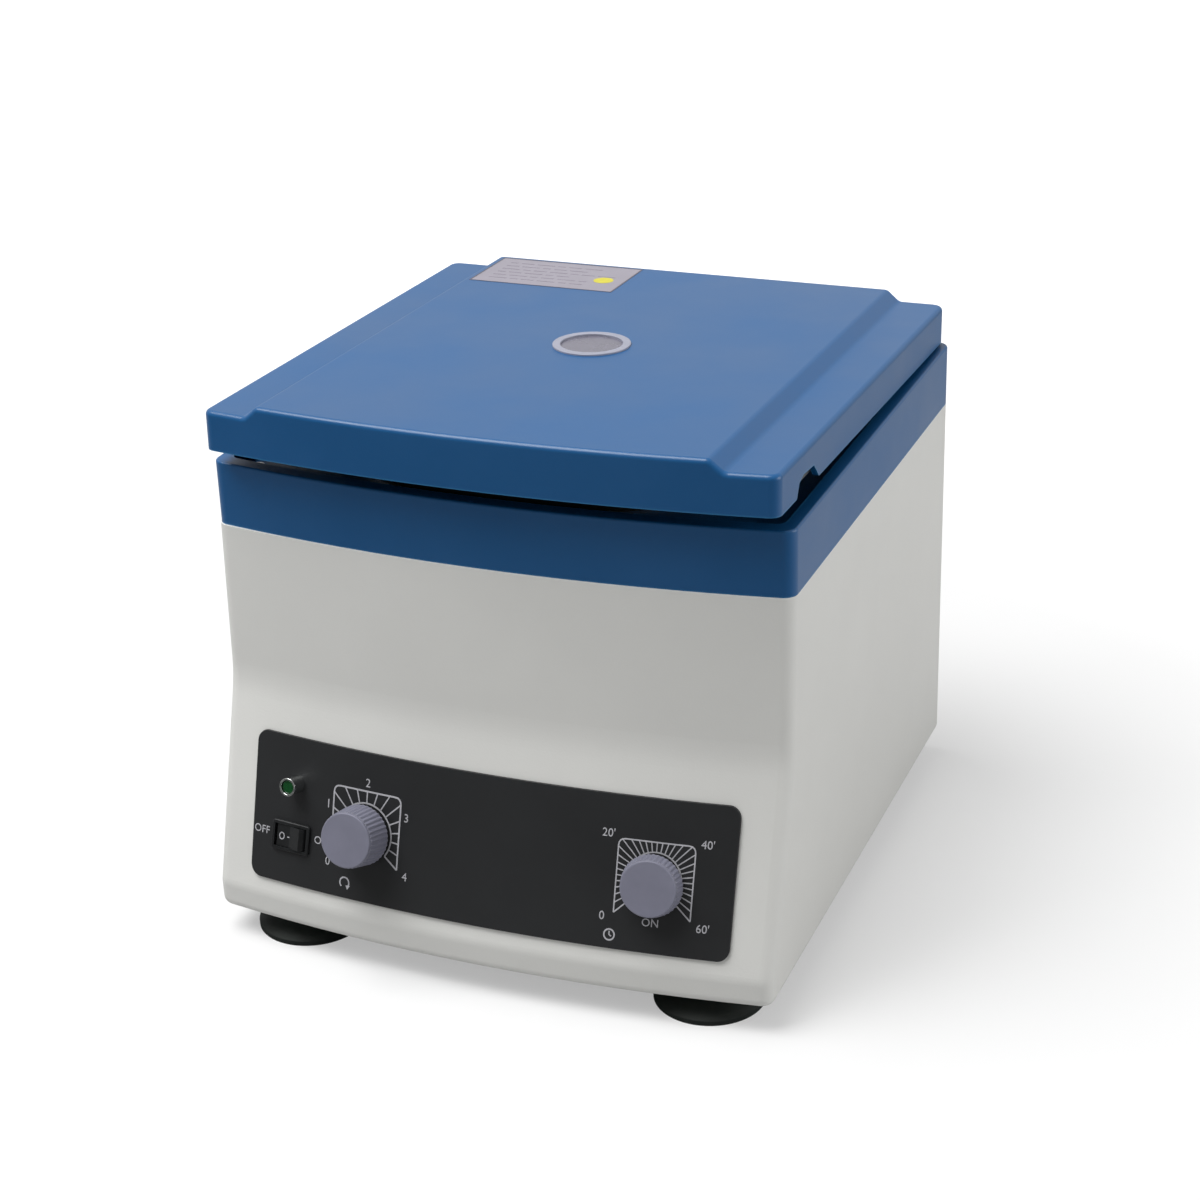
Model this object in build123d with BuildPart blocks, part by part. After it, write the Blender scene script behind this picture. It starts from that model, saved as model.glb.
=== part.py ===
from build123d import *
import os
from math import asin, atan, cos, degrees, pi, radians, sin, sqrt, tan

os.makedirs("parts", exist_ok=True)

# Case, seen from above: flat sides and rear, a bowed front
case_width = 300.0
case_depth = 277.0
front_bow = 12.6
corner_round = 7.0
case_wall = 2.5

# Housing, the lower body of the case, whose front slopes out below a waist
foot_height = 15.0
housing_height = 201.0
front_flare = 34.0
front_skirt = 15.0
waist_height = 119.0
waist_step = 3.4
top_step = 1.0
waist_round = 60.0
skirt_round = 14.0
bottom_edge_round = 5.0
floor_recess = 1.0
sheet = 2.0
flange_width = 14.0
floor_gap = 0.3
recess_step = 2.5
recess_round = 1.0

# Collar and the deck inside it
collar_height = 33.0
rim_width = 7.0
rim_edge_round = 1.2
rim_inner_step = 2.0
deck_drop = 8.0
deck_thickness = 4.0
boss_radius = 5.0

# Lid, left a little open
lid_side_gap = 3.75
lid_overhang = 11.0
lid_skirt = 20.0
lid_wall = 3.0
plateau_rise = 6.0
plateau_side = 31.75
plateau_round = 4.0
plateau_slope = 7.0
lid_corner_round = 6.0
lid_edge_round = 2.5
lid_gap = 1.0
lid_ajar = 1.8
liner_height = 3.0
liner_thickness = 2.0
liner_gap = 0.4
notch_length = 34.0
notch_height = 8.8
notch_front = 26.0
notch_reach = 10.0
window_radius = 17.5
window_ring_width = 2.6
window_ring_height = 1.0
window_ring_reach = 4.0
window_sink = 0.2
window_thickness = 3.0
window_overlap = 1.5
window_edge_round = 0.35
liner_window_gap = 6.0
post_radius = 4.0
post_inset = 9.5
post_rear = 25.0
post_front = 23.0
liner_screw_radius = 1.5
liner_screw_head = 3.0
liner_screw_head_height = 1.6

# Hinges on the rear face
hinge_offset = 4.2
hinge_spacing = 170.0
knuckle_radius = 3.2
knuckle_length = 9.0
middle_knuckle = 14.0
knuckle_gap = 0.4
pin_radius = 1.6
pin_play = 0.05
pin_head = 1.0
leaf_thickness = 1.5
fixed_leaf_height = 24.0
lid_leaf_height = 16.0
leaf_screw_radius = 1.4
leaf_screw_inset = 6.0
leaf_screw_half_pitch = 10.0
lid_leaf_screw_height = 10.0
leaf_screw_head = 2.6
leaf_screw_head_height = 1.2
leaf_screw_grip = 3.0
leaf_screw_clear = 1.0
leaf_screw_bite = 12.0
lid_leaf_screw_bite = 6.0
leaf_slot_gap = 0.7
pin_head_step = 0.9

# Spinning chamber
chamber_set_forward = 8.5
chamber_side = 30.0
chamber_end = 18.5
bowl_sheet = 1.5
bowl_flange = 10.0
bowl_depth = 102.0
bowl_round = 14.0
bowl_hole = 20.0
bowl_lip = 8.0
bowl_play = 1.8
bowl_edge_round = 3.0
seal_step_in = 3.0
seal_shoulder = 2.0
seal_bevel_outer = 1.5
seal_bevel_inner = 1.0
seal_width = 5.0
seal_gap = 0.3

# Rotor with slanted sleeves
sleeve_count = 6
sleeve_tilt = 25.0
sleeve_bore = 15.0
sleeve_wall = 1.5
sleeve_length = 86.0
sleeve_flange = 2.5
sleeve_flange_height = 2.0
sleeve_floor = 2.0
sleeve_play = 0.2
mouth_inset = 66.0
mouth_drop = 14.0
band_half = 22.0
band_thickness = 9.0
seat_depth = 1.6
seat_play = 0.3
seat_clear = 6.0
skirt_length = 40.0
skirt_thickness = 4.0
hub_radius = 15.0
hub_length = 30.0
shaft_radius = 5.0
shaft_play = 0.05
shaft_fit = 0.03
nut_radius = 11.0
nut_height = 14.0
nut_hex_height = 8.0
washer_height = 1.5
washer_step = 1.5
nut_dome_step = 2.0
nut_dome_round = 3.5
shaft_stop_short = 4.0
shaft_collar_step = 6.0
hub_web = 2.0

# Motor on its rubber mounts
motor_radius = 45.0
bell_height = 11.0
bearing_radius = 14.0
bearing_height = 8.0
boot_height = 14.0
mount_plate_size = 124.0
mount_plate_thickness = 3.0
damper_height = 14.0
damper_radius = 9.0
damper_inset = 12.0
stud_radius = 2.5
boot_gap = 0.3
boot_wall = 2.0
brush_radius = 6.0
brush_length = 9.0
brush_height = 14.0
brush_seat = 0.3
bell_step = 1.5
bell_lower_inset = 8.0
bell_lower_rise = 6.0
bell_upper_inset = 12.0
bell_upper_rise = 5.0
bearing_bevel = 1.5
shaft_foot = 10.0
shaft_bore_step = 2.0
mount_plate_round = 8.0
bolt_head_radius = 5.0
bolt_head_height = 2.4
bolt_reach = 6.0
damper_nut_radius = 4.8
damper_nut_height = 3.5
boot_skirt = 5.0
boot_shoulder = 1.0
boot_flange_in = 6.0
boot_flange_out = 12.0
boot_throat = 4.0

# Control panel on the sloped front; heights are from the housing's lower edge
panel_side = 21.0
panel_height = 73.0
panel_low = 23.7
panel_round = 6.0
panel_thickness = 1.2
panel_gap = 0.15
back_gap = 0.6
panel_margin = 4.0
speed_x = -63.0
speed_height = 57.2
time_x = 89.5
time_height = 56.2
knob_base_radius = 15.5
knob_face_radius = 14.3
speed_knob_length = 15.5
speed_knob_stand = 3.5
time_knob_length = 8.0
time_knob_stand = 2.2
knob_ribs = 40
knob_rib_depth = 0.4
knob_cap = 1.6
knob_edge_round = 0.7
knob_nut_gap = 1.2
knob_fit = 0.02
knob_hollow_share = 0.5
shaft_end_gap = 0.3
control_shaft_radius = 3.0
control_bush_radius = 4.5
control_nut_radius = 7.0
control_nut_height = 2.0
control_bush_proud = 0.8
control_shaft_reach = 20.0
front_seat = 0.05
pot_radius = 12.0
pot_depth = 14.0
pot_shaft_depth = 6.0
pot_tag_width = 1.6
pot_tag_length = 8.0
pot_tag_pitch = 5.0
pot_tag_thickness = 0.8
shaft_bore_extra = 1.0
timer_size = 50.0
timer_depth = 28.0
timer_round = 4.0
timer_gap = 0.4
timer_shaft_depth = 11.0
switch_x = -105.2
switch_height = 47.0
switch_width = 22.3
switch_tall = 15.3
switch_lip = 1.0
switch_bezel = 1.6
switch_round = 1.5
switch_edge_round = 0.6
switch_seat = 0.1
switch_well = 13.0
tag_spacing = 7.0
tag_thickness = 0.8
tag_width = 4.8
tag_length = 8.0
rocker_sink = 3.2
rocker_foot = 5.5
rocker_ridge = 5.9
rocker_valley = 4.4
rocker_tall = 11.2
rocker_reach = 9.2
rocker_gap = 0.35
rocker_tilt = 10.0
switch_depth = 16.0
lamp_x = -103.4
lamp_height = 73.6
lamp_radius = 4.6
lamp_step = 0.8
lamp_stand = 9.5
lamp_edge_round = 0.3
lens_radius = 3.6
lens_drop = 0.8
lens_round = 0.8
lens_seat = 0.9
lamp_depth = 16.0

# Things on the rear wall and inside
inlet_x = -95.0
inlet_height = 48.0
inlet_width = 31.0
inlet_tall = 25.0
inlet_body_width = 27.0
inlet_body_tall = 20.0
inlet_lip = 2.5
inlet_depth = 20.0
socket_width = 24.5
socket_tall = 16.5
socket_depth = 16.0
socket_bevel = 4.0
inlet_round = 2.5
blade_length = 10.0
blade_width = 2.0
blade_tall = 4.0
blade_spacing = 7.0
blade_low = -1.5
blade_high = 2.5
fuse_x = -60.0
fuse_radius = 7.5
fuse_cap_length = 5.5
fuse_body_radius = 6.0
fuse_depth = 30.0
fuse_flange = 1.5
fuse_flange_step = 1.0
fuse_wall = 1.5
fuse_well = 24.0
fuse_cap_step = 0.5
fuse_plug_gap = 1.7
fuse_plug_length = 6.0
fuse_slot_width = 1.2
fuse_slot_length = 8.0
fuse_low = 4.8
fuse_glass_radius = 2.5
fuse_length = 17.5
vent_x = 60.0
vent_height = 60.0
vent_count = 8
vent_pitch = 8.0
vent_length = 70.0
vent_width = 3.0
board_side = 25.0
board_clear = 7.0
board_depth = 96.0
board_screw_inset = 5.0
board_screw_radius = 1.45
board_hole_radius = 1.5
board_floor_hole_radius = 1.6
spacer_radius = 3.2
spacer_stud = 2.0
sink_forward = 22.0
sink_width = 34.0
sink_back = 3.0
sink_height = 26.0
fin_count = 8
fin_pitch = 4.6
fin_thickness = 1.5
fin_length = 10.0
fin_set = 6.0
capacitor_behind = 20.0
capacitor_radius = 9.0
capacitor_height = 28.0
capacitor_round = 1.2
board_thickness = 1.6
board_stand = 8.0
foot_radius = 28.0
foot_neck_radius = 11.0
foot_hollow = 18.0
foot_inset_x = 40.0
foot_inset_front = 24.0
foot_inset_rear = 36.0
foot_neck_height = 3.5
foot_edge_step = 3.0
foot_edge_height = 4.5
foot_rim_height = 2.5
foot_hollow_step = 8.0
foot_hollow_height = 3.4
foot_screw_low = 6.5
foot_screw_reach = 4.0
foot_nut_radius = 4.0
foot_nut_height = 3.0
screw_radius = 2.0
screw_head_radius = 4.0
screw_head_height = 2.4
screw_play = 0.1
thread_play = 0.05
base_screw_head = 3.4
base_screw_head_height = 1.8
base_screw_reach = 2.0
collar_screw_reach = 3.0
floor_screw_front = 20.0
floor_screw_rear = 60.0
collar_screw_side = 17.0
collar_screw_front = 14.0
floor_slot_length = 60.0
floor_slot_width = 5.0
floor_slot_pitch = 14.0
floor_slot_count = 5
hole_play = 0.25

# Places that follow from the sizes above
half_width = case_width / 2
lid_width = case_width - 2 * lid_side_gap
plateau_half = lid_width / 2 - plateau_side
panel_width = case_width - 2 * panel_side
chamber_radius = min(half_width - chamber_side, case_depth / 2 - chamber_end)
chamber_back = case_depth / 2 + chamber_set_forward
mouth_radius = chamber_radius - mouth_inset
board_width = half_width - board_side - mount_plate_size / 2 - board_clear
board_x = -(half_width - board_side - board_width / 2)
bow_radius = (half_width**2 + front_bow**2) / (2 * front_bow)
slope_run = front_flare - waist_step
slope_rise = waist_height - front_skirt
slope = atan(slope_run / slope_rise)


def bow_depth(x):
    """How far the bowed front stands ahead of its corners at a place across."""
    return sqrt(bow_radius**2 - x**2) - sqrt(bow_radius**2 - half_width**2)


def slope_step(height):
    """How far the sloped front stands ahead of the collar at a height on the housing."""
    return front_flare - (height - front_skirt) * tan(slope)


knob_top = panel_thickness + speed_knob_stand + speed_knob_length
knob_reach = knob_top * cos(slope) + knob_face_radius * sin(slope)
front_reach = slope_step(speed_height) + bow_depth(speed_x) + knob_reach
rear_reach = hinge_offset + knuckle_radius
case_rear = (case_depth + front_reach - rear_reach) / 2
case_front = case_rear - case_depth
bow_center = case_front + sqrt(bow_radius**2 - half_width**2)
bow_axis = Axis((0, bow_center, 0), (0, 0, 1))
bow_sweep = 2 * degrees(asin((half_width + 40) / (bow_radius - case_depth)))
housing_low = foot_height - floor_recess
housing_top = housing_low + housing_height
collar_top = housing_top + collar_height
deck_top = collar_top - deck_drop
floor_top = foot_height + sheet
rotor_y = case_rear - chamber_back
bowl_floor = deck_top - bowl_depth
hinge_y = case_rear + hinge_offset
hinge_z = collar_top + lid_gap / 2
lid_low = lid_gap / 2
lid_depth = case_depth + lid_overhang

# Tilted plane on the hinge line, in which the lid is drawn as if shut
lid_plane = Plane(
    origin=(0, hinge_y, hinge_z),
    x_dir=(1, 0, 0),
    z_dir=(0, sin(radians(lid_ajar)), cos(radians(lid_ajar))),
)
lid_end = Plane(origin=lid_plane.origin, x_dir=(1, 0, 0), z_dir=-lid_plane.y_dir)
window_y = rotor_y - hinge_y
sweep_start = radians(-bow_sweep / 2)
bow_plane = Plane(
    origin=(0, bow_center, 0),
    x_dir=(sin(sweep_start), -cos(sweep_start), 0),
    z_dir=(-cos(sweep_start), -sin(sweep_start), 0),
)


def bowed_outline(width, rear, front, corner):
    """Plan with a flat rear, flat sides and the bowed front, drawn in the open sketch."""
    half = width / 2
    bow = bow_radius - sqrt(bow_radius**2 - half**2)
    with BuildLine() as edge:
        Polyline((half, front), (half, rear), (-half, rear), (-half, front))
        ThreePointArc((-half, front), (0, front - bow), (half, front))
    outline = make_face(edge.edges())
    if corner > 0:
        fillet(outline.vertices(), corner)


def case_form(inset, low, high, corner):
    """The housing's outer shape, drawn in by inset and cut off at two heights."""
    half = half_width - inset
    with BuildPart() as form:
        with BuildSketch(bow_plane):
            with BuildLine():
                FilletPolyline(
                    (bow_radius + front_flare - inset, housing_low),
                    (bow_radius + front_flare - inset, housing_low + front_skirt),
                    (bow_radius + waist_step - inset, housing_low + waist_height),
                    (bow_radius + top_step - inset, housing_top),
                    radius=[skirt_round, waist_round],
                )
                Polyline(
                    (bow_radius + top_step - inset, housing_top),
                    (bow_radius - case_depth - 2 * front_bow - 20, housing_top),
                    (bow_radius - case_depth - 2 * front_bow - 20, housing_low),
                    (bow_radius + front_flare - inset, housing_low),
                )
            make_face()
        revolve(axis=bow_axis, revolution_arc=bow_sweep)
        with BuildSketch(Plane.XY.offset(low)):
            with Locations((0, case_rear - inset)):
                Rectangle(2 * half, 2 * case_depth, align=(Align.CENTER, Align.MAX))
        extrude(amount=high - low, mode=Mode.INTERSECT)
        if corner > 0:
            uprights = form.edges().filter_by(
                lambda e: abs(e.center().X) > half - 0.1 and e.bounding_box().size.Z > e.bounding_box().size.Y
            )
            fillet(uprights, corner)
    return form.part


def panel_plane(x, height):
    """Plane on the sloped front, facing out, its y up the slope."""
    radius = bow_radius + slope_step(height)
    turn = asin(x / radius)
    out = Vector(sin(turn) * cos(slope), -cos(turn) * cos(slope), sin(slope))
    foot = Vector(x, bow_center - radius * cos(turn), housing_low + height)
    return Plane(origin=foot, x_dir=(cos(turn), sin(turn), 0), z_dir=out)


# Housing: one painted shell with return flanges at its foot and its top
housing_shell = case_form(0, housing_low, housing_top, corner_round)
recess_inset = bottom_edge_round + recess_step
housing_recess = case_form(recess_inset, housing_low, floor_top, recess_round)
housing_inside = case_form(case_wall, floor_top + sheet, housing_top - sheet, corner_round - case_wall)
housing_opening = case_form(recess_inset + flange_width, housing_low, housing_top, recess_round)
speed_spot = panel_plane(speed_x, speed_height)
time_spot = panel_plane(time_x, time_height)
switch_spot = panel_plane(switch_x, switch_height)
lamp_spot = panel_plane(lamp_x, lamp_height)
hole_depth = case_wall + 2 * panel_thickness + panel_margin
switch_body_width = switch_width - 2 * switch_lip
switch_body_tall = switch_tall - 2 * switch_lip
floor_screw_spots = [
    (sx * (half_width - recess_inset - flange_width / 2), y)
    for sx in (-1, 1)
    for y in (case_front + floor_screw_front, case_rear - case_depth / 2, case_rear - floor_screw_rear)
]
collar_screw_spots = [
    (sx * (half_width - collar_screw_side), y)
    for sx in (-1, 1)
    for y in (case_front + collar_screw_front, case_rear - collar_screw_side)
]

with BuildPart() as housing:
    add(housing_shell)
    fillet(housing.edges().group_by(Axis.Z)[0], bottom_edge_round)
    add(housing_recess, mode=Mode.SUBTRACT)
    add(housing_inside, mode=Mode.SUBTRACT)
    add(housing_opening, mode=Mode.SUBTRACT)
    for spot in (speed_spot, time_spot):
        with BuildSketch(spot.offset(panel_thickness)):
            Circle(control_bush_radius + hole_play)
        extrude(amount=-hole_depth, mode=Mode.SUBTRACT)
    with BuildSketch(lamp_spot.offset(panel_thickness)):
        Circle(lamp_radius - lamp_step + hole_play)
    extrude(amount=-hole_depth, mode=Mode.SUBTRACT)
    with BuildSketch(switch_spot.offset(panel_thickness)):
        Rectangle(switch_body_width + 2 * hole_play, switch_body_tall + 2 * hole_play)
    extrude(amount=-hole_depth, mode=Mode.SUBTRACT)
    with BuildSketch(Plane.XZ.offset(-case_rear)):
        with Locations((inlet_x, housing_low + inlet_height)):
            Rectangle(inlet_body_width + 2 * hole_play, inlet_body_tall + 2 * hole_play)
        with Locations((fuse_x, housing_low + inlet_height)):
            Circle(fuse_body_radius + hole_play)
        with Locations((vent_x, housing_low + vent_height)):
            with GridLocations(0, vent_pitch, 1, vent_count):
                SlotOverall(vent_length, vent_width)
    extrude(amount=case_wall + 2, both=True, mode=Mode.SUBTRACT)
    with BuildSketch(Plane.XY.offset(floor_top)):
        with Locations(*floor_screw_spots):
            Circle(screw_radius)
    extrude(amount=sheet, mode=Mode.SUBTRACT)
    with BuildSketch(Plane.XY.offset(housing_top - sheet)):
        with Locations(*collar_screw_spots):
            Circle(screw_radius)
    extrude(amount=sheet, mode=Mode.SUBTRACT)
housing.part.label = "housing"

# Base plate: flat steel floor with cooling slots, under the housing's lower flange
foot_spots = [
    (sx * (half_width - foot_inset_x), y)
    for sx in (-1, 1)
    for y in (case_front - front_flare + foot_inset_front, case_rear - foot_inset_rear)
]
damper_reach = mount_plate_size / 2 - damper_inset
damper_spots = [(sx * damper_reach, rotor_y + sy * damper_reach) for sx in (-1, 1) for sy in (-1, 1)]
board_y = rotor_y
board_screw_spots = [
    (board_x + sx * (board_width / 2 - board_screw_inset), board_y + sy * (board_depth / 2 - board_screw_inset))
    for sx in (-1, 1)
    for sy in (-1, 1)
]
base_form = case_form(recess_inset + floor_gap, foot_height, floor_top, recess_round)

with BuildPart() as base_plate:
    add(base_form)
    with BuildSketch(Plane.XY.offset(foot_height)):
        with Locations(*floor_screw_spots, *foot_spots):
            Circle(screw_radius + screw_play)
        with Locations(*damper_spots):
            Circle(stud_radius + screw_play)
        with Locations(*board_screw_spots):
            Circle(board_floor_hole_radius)
        with Locations((0, rotor_y)):
            with GridLocations(0, floor_slot_pitch, 1, floor_slot_count):
                SlotOverall(floor_slot_length, floor_slot_width)
    extrude(amount=sheet, mode=Mode.SUBTRACT)
base_plate.part.label = "base_plate"

# Suction feet: wide rubber cups with a screw through the neck
with BuildPart() as one_foot:
    with BuildSketch(Plane.XZ):
        with BuildLine():
            Polyline(
                (screw_radius + screw_play, foot_height),
                (foot_neck_radius, foot_height),
                (foot_neck_radius, foot_height - foot_neck_height),
                (foot_radius - foot_edge_step, foot_edge_height),
                (foot_radius, foot_rim_height),
                (foot_radius, 0),
                (foot_hollow, 0),
                (foot_hollow - foot_hollow_step, foot_hollow_height),
                (foot_hollow - foot_hollow_step, foot_screw_low),
                (screw_radius + screw_play, foot_screw_low),
                close=True,
            )
        make_face()
    revolve(axis=Axis.Z)

with BuildPart() as rubber_feet:
    with Locations(*[(x, y, 0) for x, y in foot_spots]):
        add(one_foot.part)
rubber_feet.part.label = "rubber_feet"

with BuildPart() as foot_screws:
    with BuildSketch(Plane.XY.offset(foot_screw_low)):
        with Locations(*foot_spots):
            Circle(screw_head_radius)
    extrude(amount=-screw_head_height)
    with BuildSketch(Plane.XY.offset(foot_screw_low)):
        with Locations(*foot_spots):
            Circle(screw_radius)
    extrude(amount=floor_top + foot_screw_reach - foot_screw_low)
foot_screws.part.label = "foot_screws"

with BuildPart() as foot_nuts:
    with BuildSketch(Plane.XY.offset(floor_top)):
        with Locations(*foot_spots):
            RegularPolygon(foot_nut_radius, 6)
            Circle(screw_radius + thread_play, mode=Mode.SUBTRACT)
    extrude(amount=foot_nut_height)
foot_nuts.part.label = "foot_nuts"

with BuildPart() as base_screws:
    with BuildSketch(Plane.XY.offset(foot_height)):
        with Locations(*floor_screw_spots):
            Circle(base_screw_head)
    extrude(amount=-base_screw_head_height)
    with BuildSketch(Plane.XY.offset(foot_height)):
        with Locations(*floor_screw_spots):
            Circle(screw_radius - thread_play)
    extrude(amount=2 * sheet + base_screw_reach)
base_screws.part.label = "base_screws"

# Collar: moulded frame on top of the housing, with a deck round the chamber
with BuildPart() as collar:
    with BuildSketch(Plane.XY.offset(housing_top)):
        bowed_outline(case_width, case_rear, case_front, corner_round)
    extrude(amount=collar_height)
    fillet(collar.faces().sort_by(Axis.Z)[-1].edges(), rim_edge_round)
    with BuildSketch(Plane.XY.offset(deck_top)):
        bowed_outline(
            case_width - 2 * rim_width,
            case_rear - rim_width,
            case_front + rim_width,
            corner_round - rim_inner_step,
        )
    extrude(amount=deck_drop, mode=Mode.SUBTRACT)
    with BuildSketch(Plane.XY.offset(housing_top)):
        bowed_outline(
            case_width - 2 * lid_wall, case_rear - lid_wall, case_front + lid_wall, corner_round - lid_wall
        )
    extrude(amount=collar_height - deck_drop - deck_thickness, mode=Mode.SUBTRACT)
    with BuildSketch(Plane.XY.offset(housing_top)):
        with Locations(*collar_screw_spots):
            Circle(boss_radius)
    extrude(amount=collar_height - deck_drop - deck_thickness)
    with BuildSketch(Plane.XY.offset(housing_top)):
        with Locations((0, rotor_y)):
            Circle(chamber_radius + bowl_sheet + bowl_play)
        with Locations(*collar_screw_spots):
            Circle(screw_radius)
    extrude(amount=collar_height, mode=Mode.SUBTRACT)
    leaf_holes = [
        (sx * hinge_spacing / 2 + dx, hinge_z - fixed_leaf_height + leaf_screw_inset)
        for sx in (-1, 1)
        for dx in (-leaf_screw_half_pitch, leaf_screw_half_pitch)
    ]
    with BuildSketch(Plane.XZ.offset(-case_rear)):
        with Locations(*leaf_holes):
            Circle(leaf_screw_radius)
    extrude(amount=leaf_screw_bite, mode=Mode.SUBTRACT)
collar.part.label = "collar"

with BuildPart() as collar_screws:
    with BuildSketch(Plane.XY.offset(deck_top)):
        with Locations(*collar_screw_spots):
            Circle(screw_head_radius)
    extrude(amount=screw_head_height)
    with BuildSketch(Plane.XY.offset(deck_top)):
        with Locations(*collar_screw_spots):
            Circle(screw_radius - thread_play)
    extrude(amount=-(collar_height - deck_drop + sheet + collar_screw_reach))
collar_screws.part.label = "collar_screws"

# Chamber bowl: spun sheet bowl hung in the deck, with a raised lip round the shaft hole
bowl_inner = chamber_radius
bowl_outer = chamber_radius + bowl_sheet
flange_top = deck_top + bowl_sheet
rotor_plane = Plane(origin=(0, rotor_y, 0), x_dir=(1, 0, 0), z_dir=(0, -1, 0))
rotor_axis = Axis((0, rotor_y, 0), (0, 0, 1))
with BuildPart() as chamber_bowl:
    with BuildSketch(rotor_plane):
        with BuildLine():
            FilletPolyline(
                (bowl_outer + bowl_flange, flange_top),
                (bowl_inner, flange_top),
                (bowl_inner, bowl_floor),
                (bowl_hole, bowl_floor),
                (bowl_hole, bowl_floor + bowl_lip),
                radius=[bowl_edge_round, bowl_round, bowl_edge_round],
            )
            FilletPolyline(
                (bowl_outer + bowl_flange, deck_top),
                (bowl_outer, deck_top),
                (bowl_outer, bowl_floor - bowl_sheet),
                (bowl_hole - bowl_sheet, bowl_floor - bowl_sheet),
                (bowl_hole - bowl_sheet, bowl_floor + bowl_lip),
                radius=[
                    bowl_edge_round - bowl_sheet,
                    bowl_round + bowl_sheet,
                    bowl_edge_round + bowl_sheet,
                ],
            )
            Line((bowl_outer + bowl_flange, flange_top), (bowl_outer + bowl_flange, deck_top))
            Line((bowl_hole, bowl_floor + bowl_lip), (bowl_hole - bowl_sheet, bowl_floor + bowl_lip))
        make_face()
    revolve(axis=rotor_axis)
chamber_bowl.part.label = "chamber_bowl"

# Seal: rubber ring on the bowl's flange that the shut lid closes on
liner_low = lid_low + liner_height
seal_top = hinge_z + liner_low - seal_gap
seal_inner = bowl_outer + seal_step_in
with BuildPart() as chamber_seal:
    with BuildSketch(rotor_plane):
        with BuildLine():
            Polyline(
                (seal_inner, flange_top),
                (seal_inner + seal_width, flange_top),
                (seal_inner + seal_width, seal_top - seal_shoulder),
                (seal_inner + seal_width - seal_bevel_outer, seal_top),
                (seal_inner + seal_bevel_inner, seal_top),
                (seal_inner, seal_top - seal_shoulder),
                close=True,
            )
        make_face()
    revolve(axis=rotor_axis)
chamber_seal.part.label = "chamber_seal"

# Lid shell: moulded cover with a raised middle, a bowed front and a finger notch
lid_top = lid_low + lid_skirt
plateau_top = lid_top + plateau_rise


def lid_section(inset, low):
    """End view of the lid, drawn in by inset, from low up to its stepped top."""
    half = lid_width / 2 - inset
    step = plateau_half - inset * 0.4
    foot = step + plateau_slope
    outline = Polygon(
        (-half, low),
        (half, low),
        (half, lid_top - inset),
        (foot, lid_top - inset),
        (step, plateau_top - inset),
        (-step, plateau_top - inset),
        (-foot, lid_top - inset),
        (-half, lid_top - inset),
        align=None,
    )
    middle = [v for v in outline.vertices() if abs(v.X) < half - 1]
    fillet(middle, plateau_round)


def lid_form(inset, low, corner):
    """The lid's outer block, drawn in by inset on every side but the lower one."""
    with BuildPart() as form:
        with BuildSketch(lid_end.offset(hinge_offset + inset)):
            lid_section(inset, low)
        extrude(amount=lid_depth + 2 * front_bow)
        with BuildSketch(lid_plane.offset(low)):
            bowed_outline(
                lid_width - 2 * inset, -hinge_offset - inset, -hinge_offset - lid_depth + inset, corner
            )
        extrude(amount=lid_skirt + plateau_rise + 10, mode=Mode.INTERSECT)
    return form.part


lid_block = lid_form(0, lid_low, lid_corner_round)
lid_hollow = lid_form(lid_wall, lid_low, lid_corner_round - lid_wall)
liner_top = liner_low + liner_thickness
post_spots = [
    (sx * (plateau_half - post_inset), -hinge_offset - y)
    for sx in (-1, 1)
    for y in (post_rear, (lid_depth + post_rear - post_front) / 2, lid_depth - post_front)
]
notch_y = -hinge_offset - lid_depth + notch_front + notch_length / 2
side_plane = Plane(origin=lid_plane.origin, x_dir=lid_plane.y_dir, z_dir=(1, 0, 0))
lid_leaf_holes = [
    (sx * hinge_spacing / 2 + dx, lid_low + lid_leaf_screw_height)
    for sx in (-1, 1)
    for dx in (-leaf_screw_half_pitch, leaf_screw_half_pitch)
]

with BuildPart() as lid_shell:
    add(lid_block)
    top_edges = lid_shell.edges().filter_by(
        lambda e: lid_plane.to_local_coords(e.center()).Z > lid_top - 0.2
        and abs(lid_plane.to_local_coords(e.center()).X) < lid_width
    )
    rim_edges = top_edges.filter_by(
        lambda e: e.geom_type != GeomType.LINE
        or abs(e.tangent_at(0.5).X) > 0.5
        or abs(e.center().X) > lid_width / 2 - 1
    )
    fillet(rim_edges, lid_edge_round)
    add(lid_hollow, mode=Mode.SUBTRACT)
    with BuildSketch(lid_plane.offset(liner_top)):
        with Locations(*post_spots):
            Circle(post_radius)
    extrude(until=Until.NEXT)
    with BuildSketch(lid_plane):
        with Locations((0, window_y)):
            Circle(window_radius + screw_play)
    extrude(amount=plateau_top + 5, mode=Mode.SUBTRACT)
    with BuildSketch(side_plane.offset(lid_width / 2 - notch_reach)):
        with Locations((notch_y, lid_low)):
            Polygon(
                (-notch_length / 2, -1),
                (-notch_length / 2, 0),
                (-notch_length / 2 + 4, notch_height - 2),
                (-notch_length / 2 + 10, notch_height),
                (notch_length / 2 - 8, notch_height - 1),
                (notch_length / 2, 0),
                (notch_length / 2, -1),
                align=None,
            )
    extrude(amount=2 * notch_reach, mode=Mode.SUBTRACT)
    with BuildSketch(lid_end.offset(hinge_offset)):
        with Locations(*lid_leaf_holes):
            Circle(leaf_screw_radius)
    extrude(amount=lid_leaf_screw_bite, mode=Mode.SUBTRACT)
lid_shell.part.label = "lid_shell"

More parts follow.
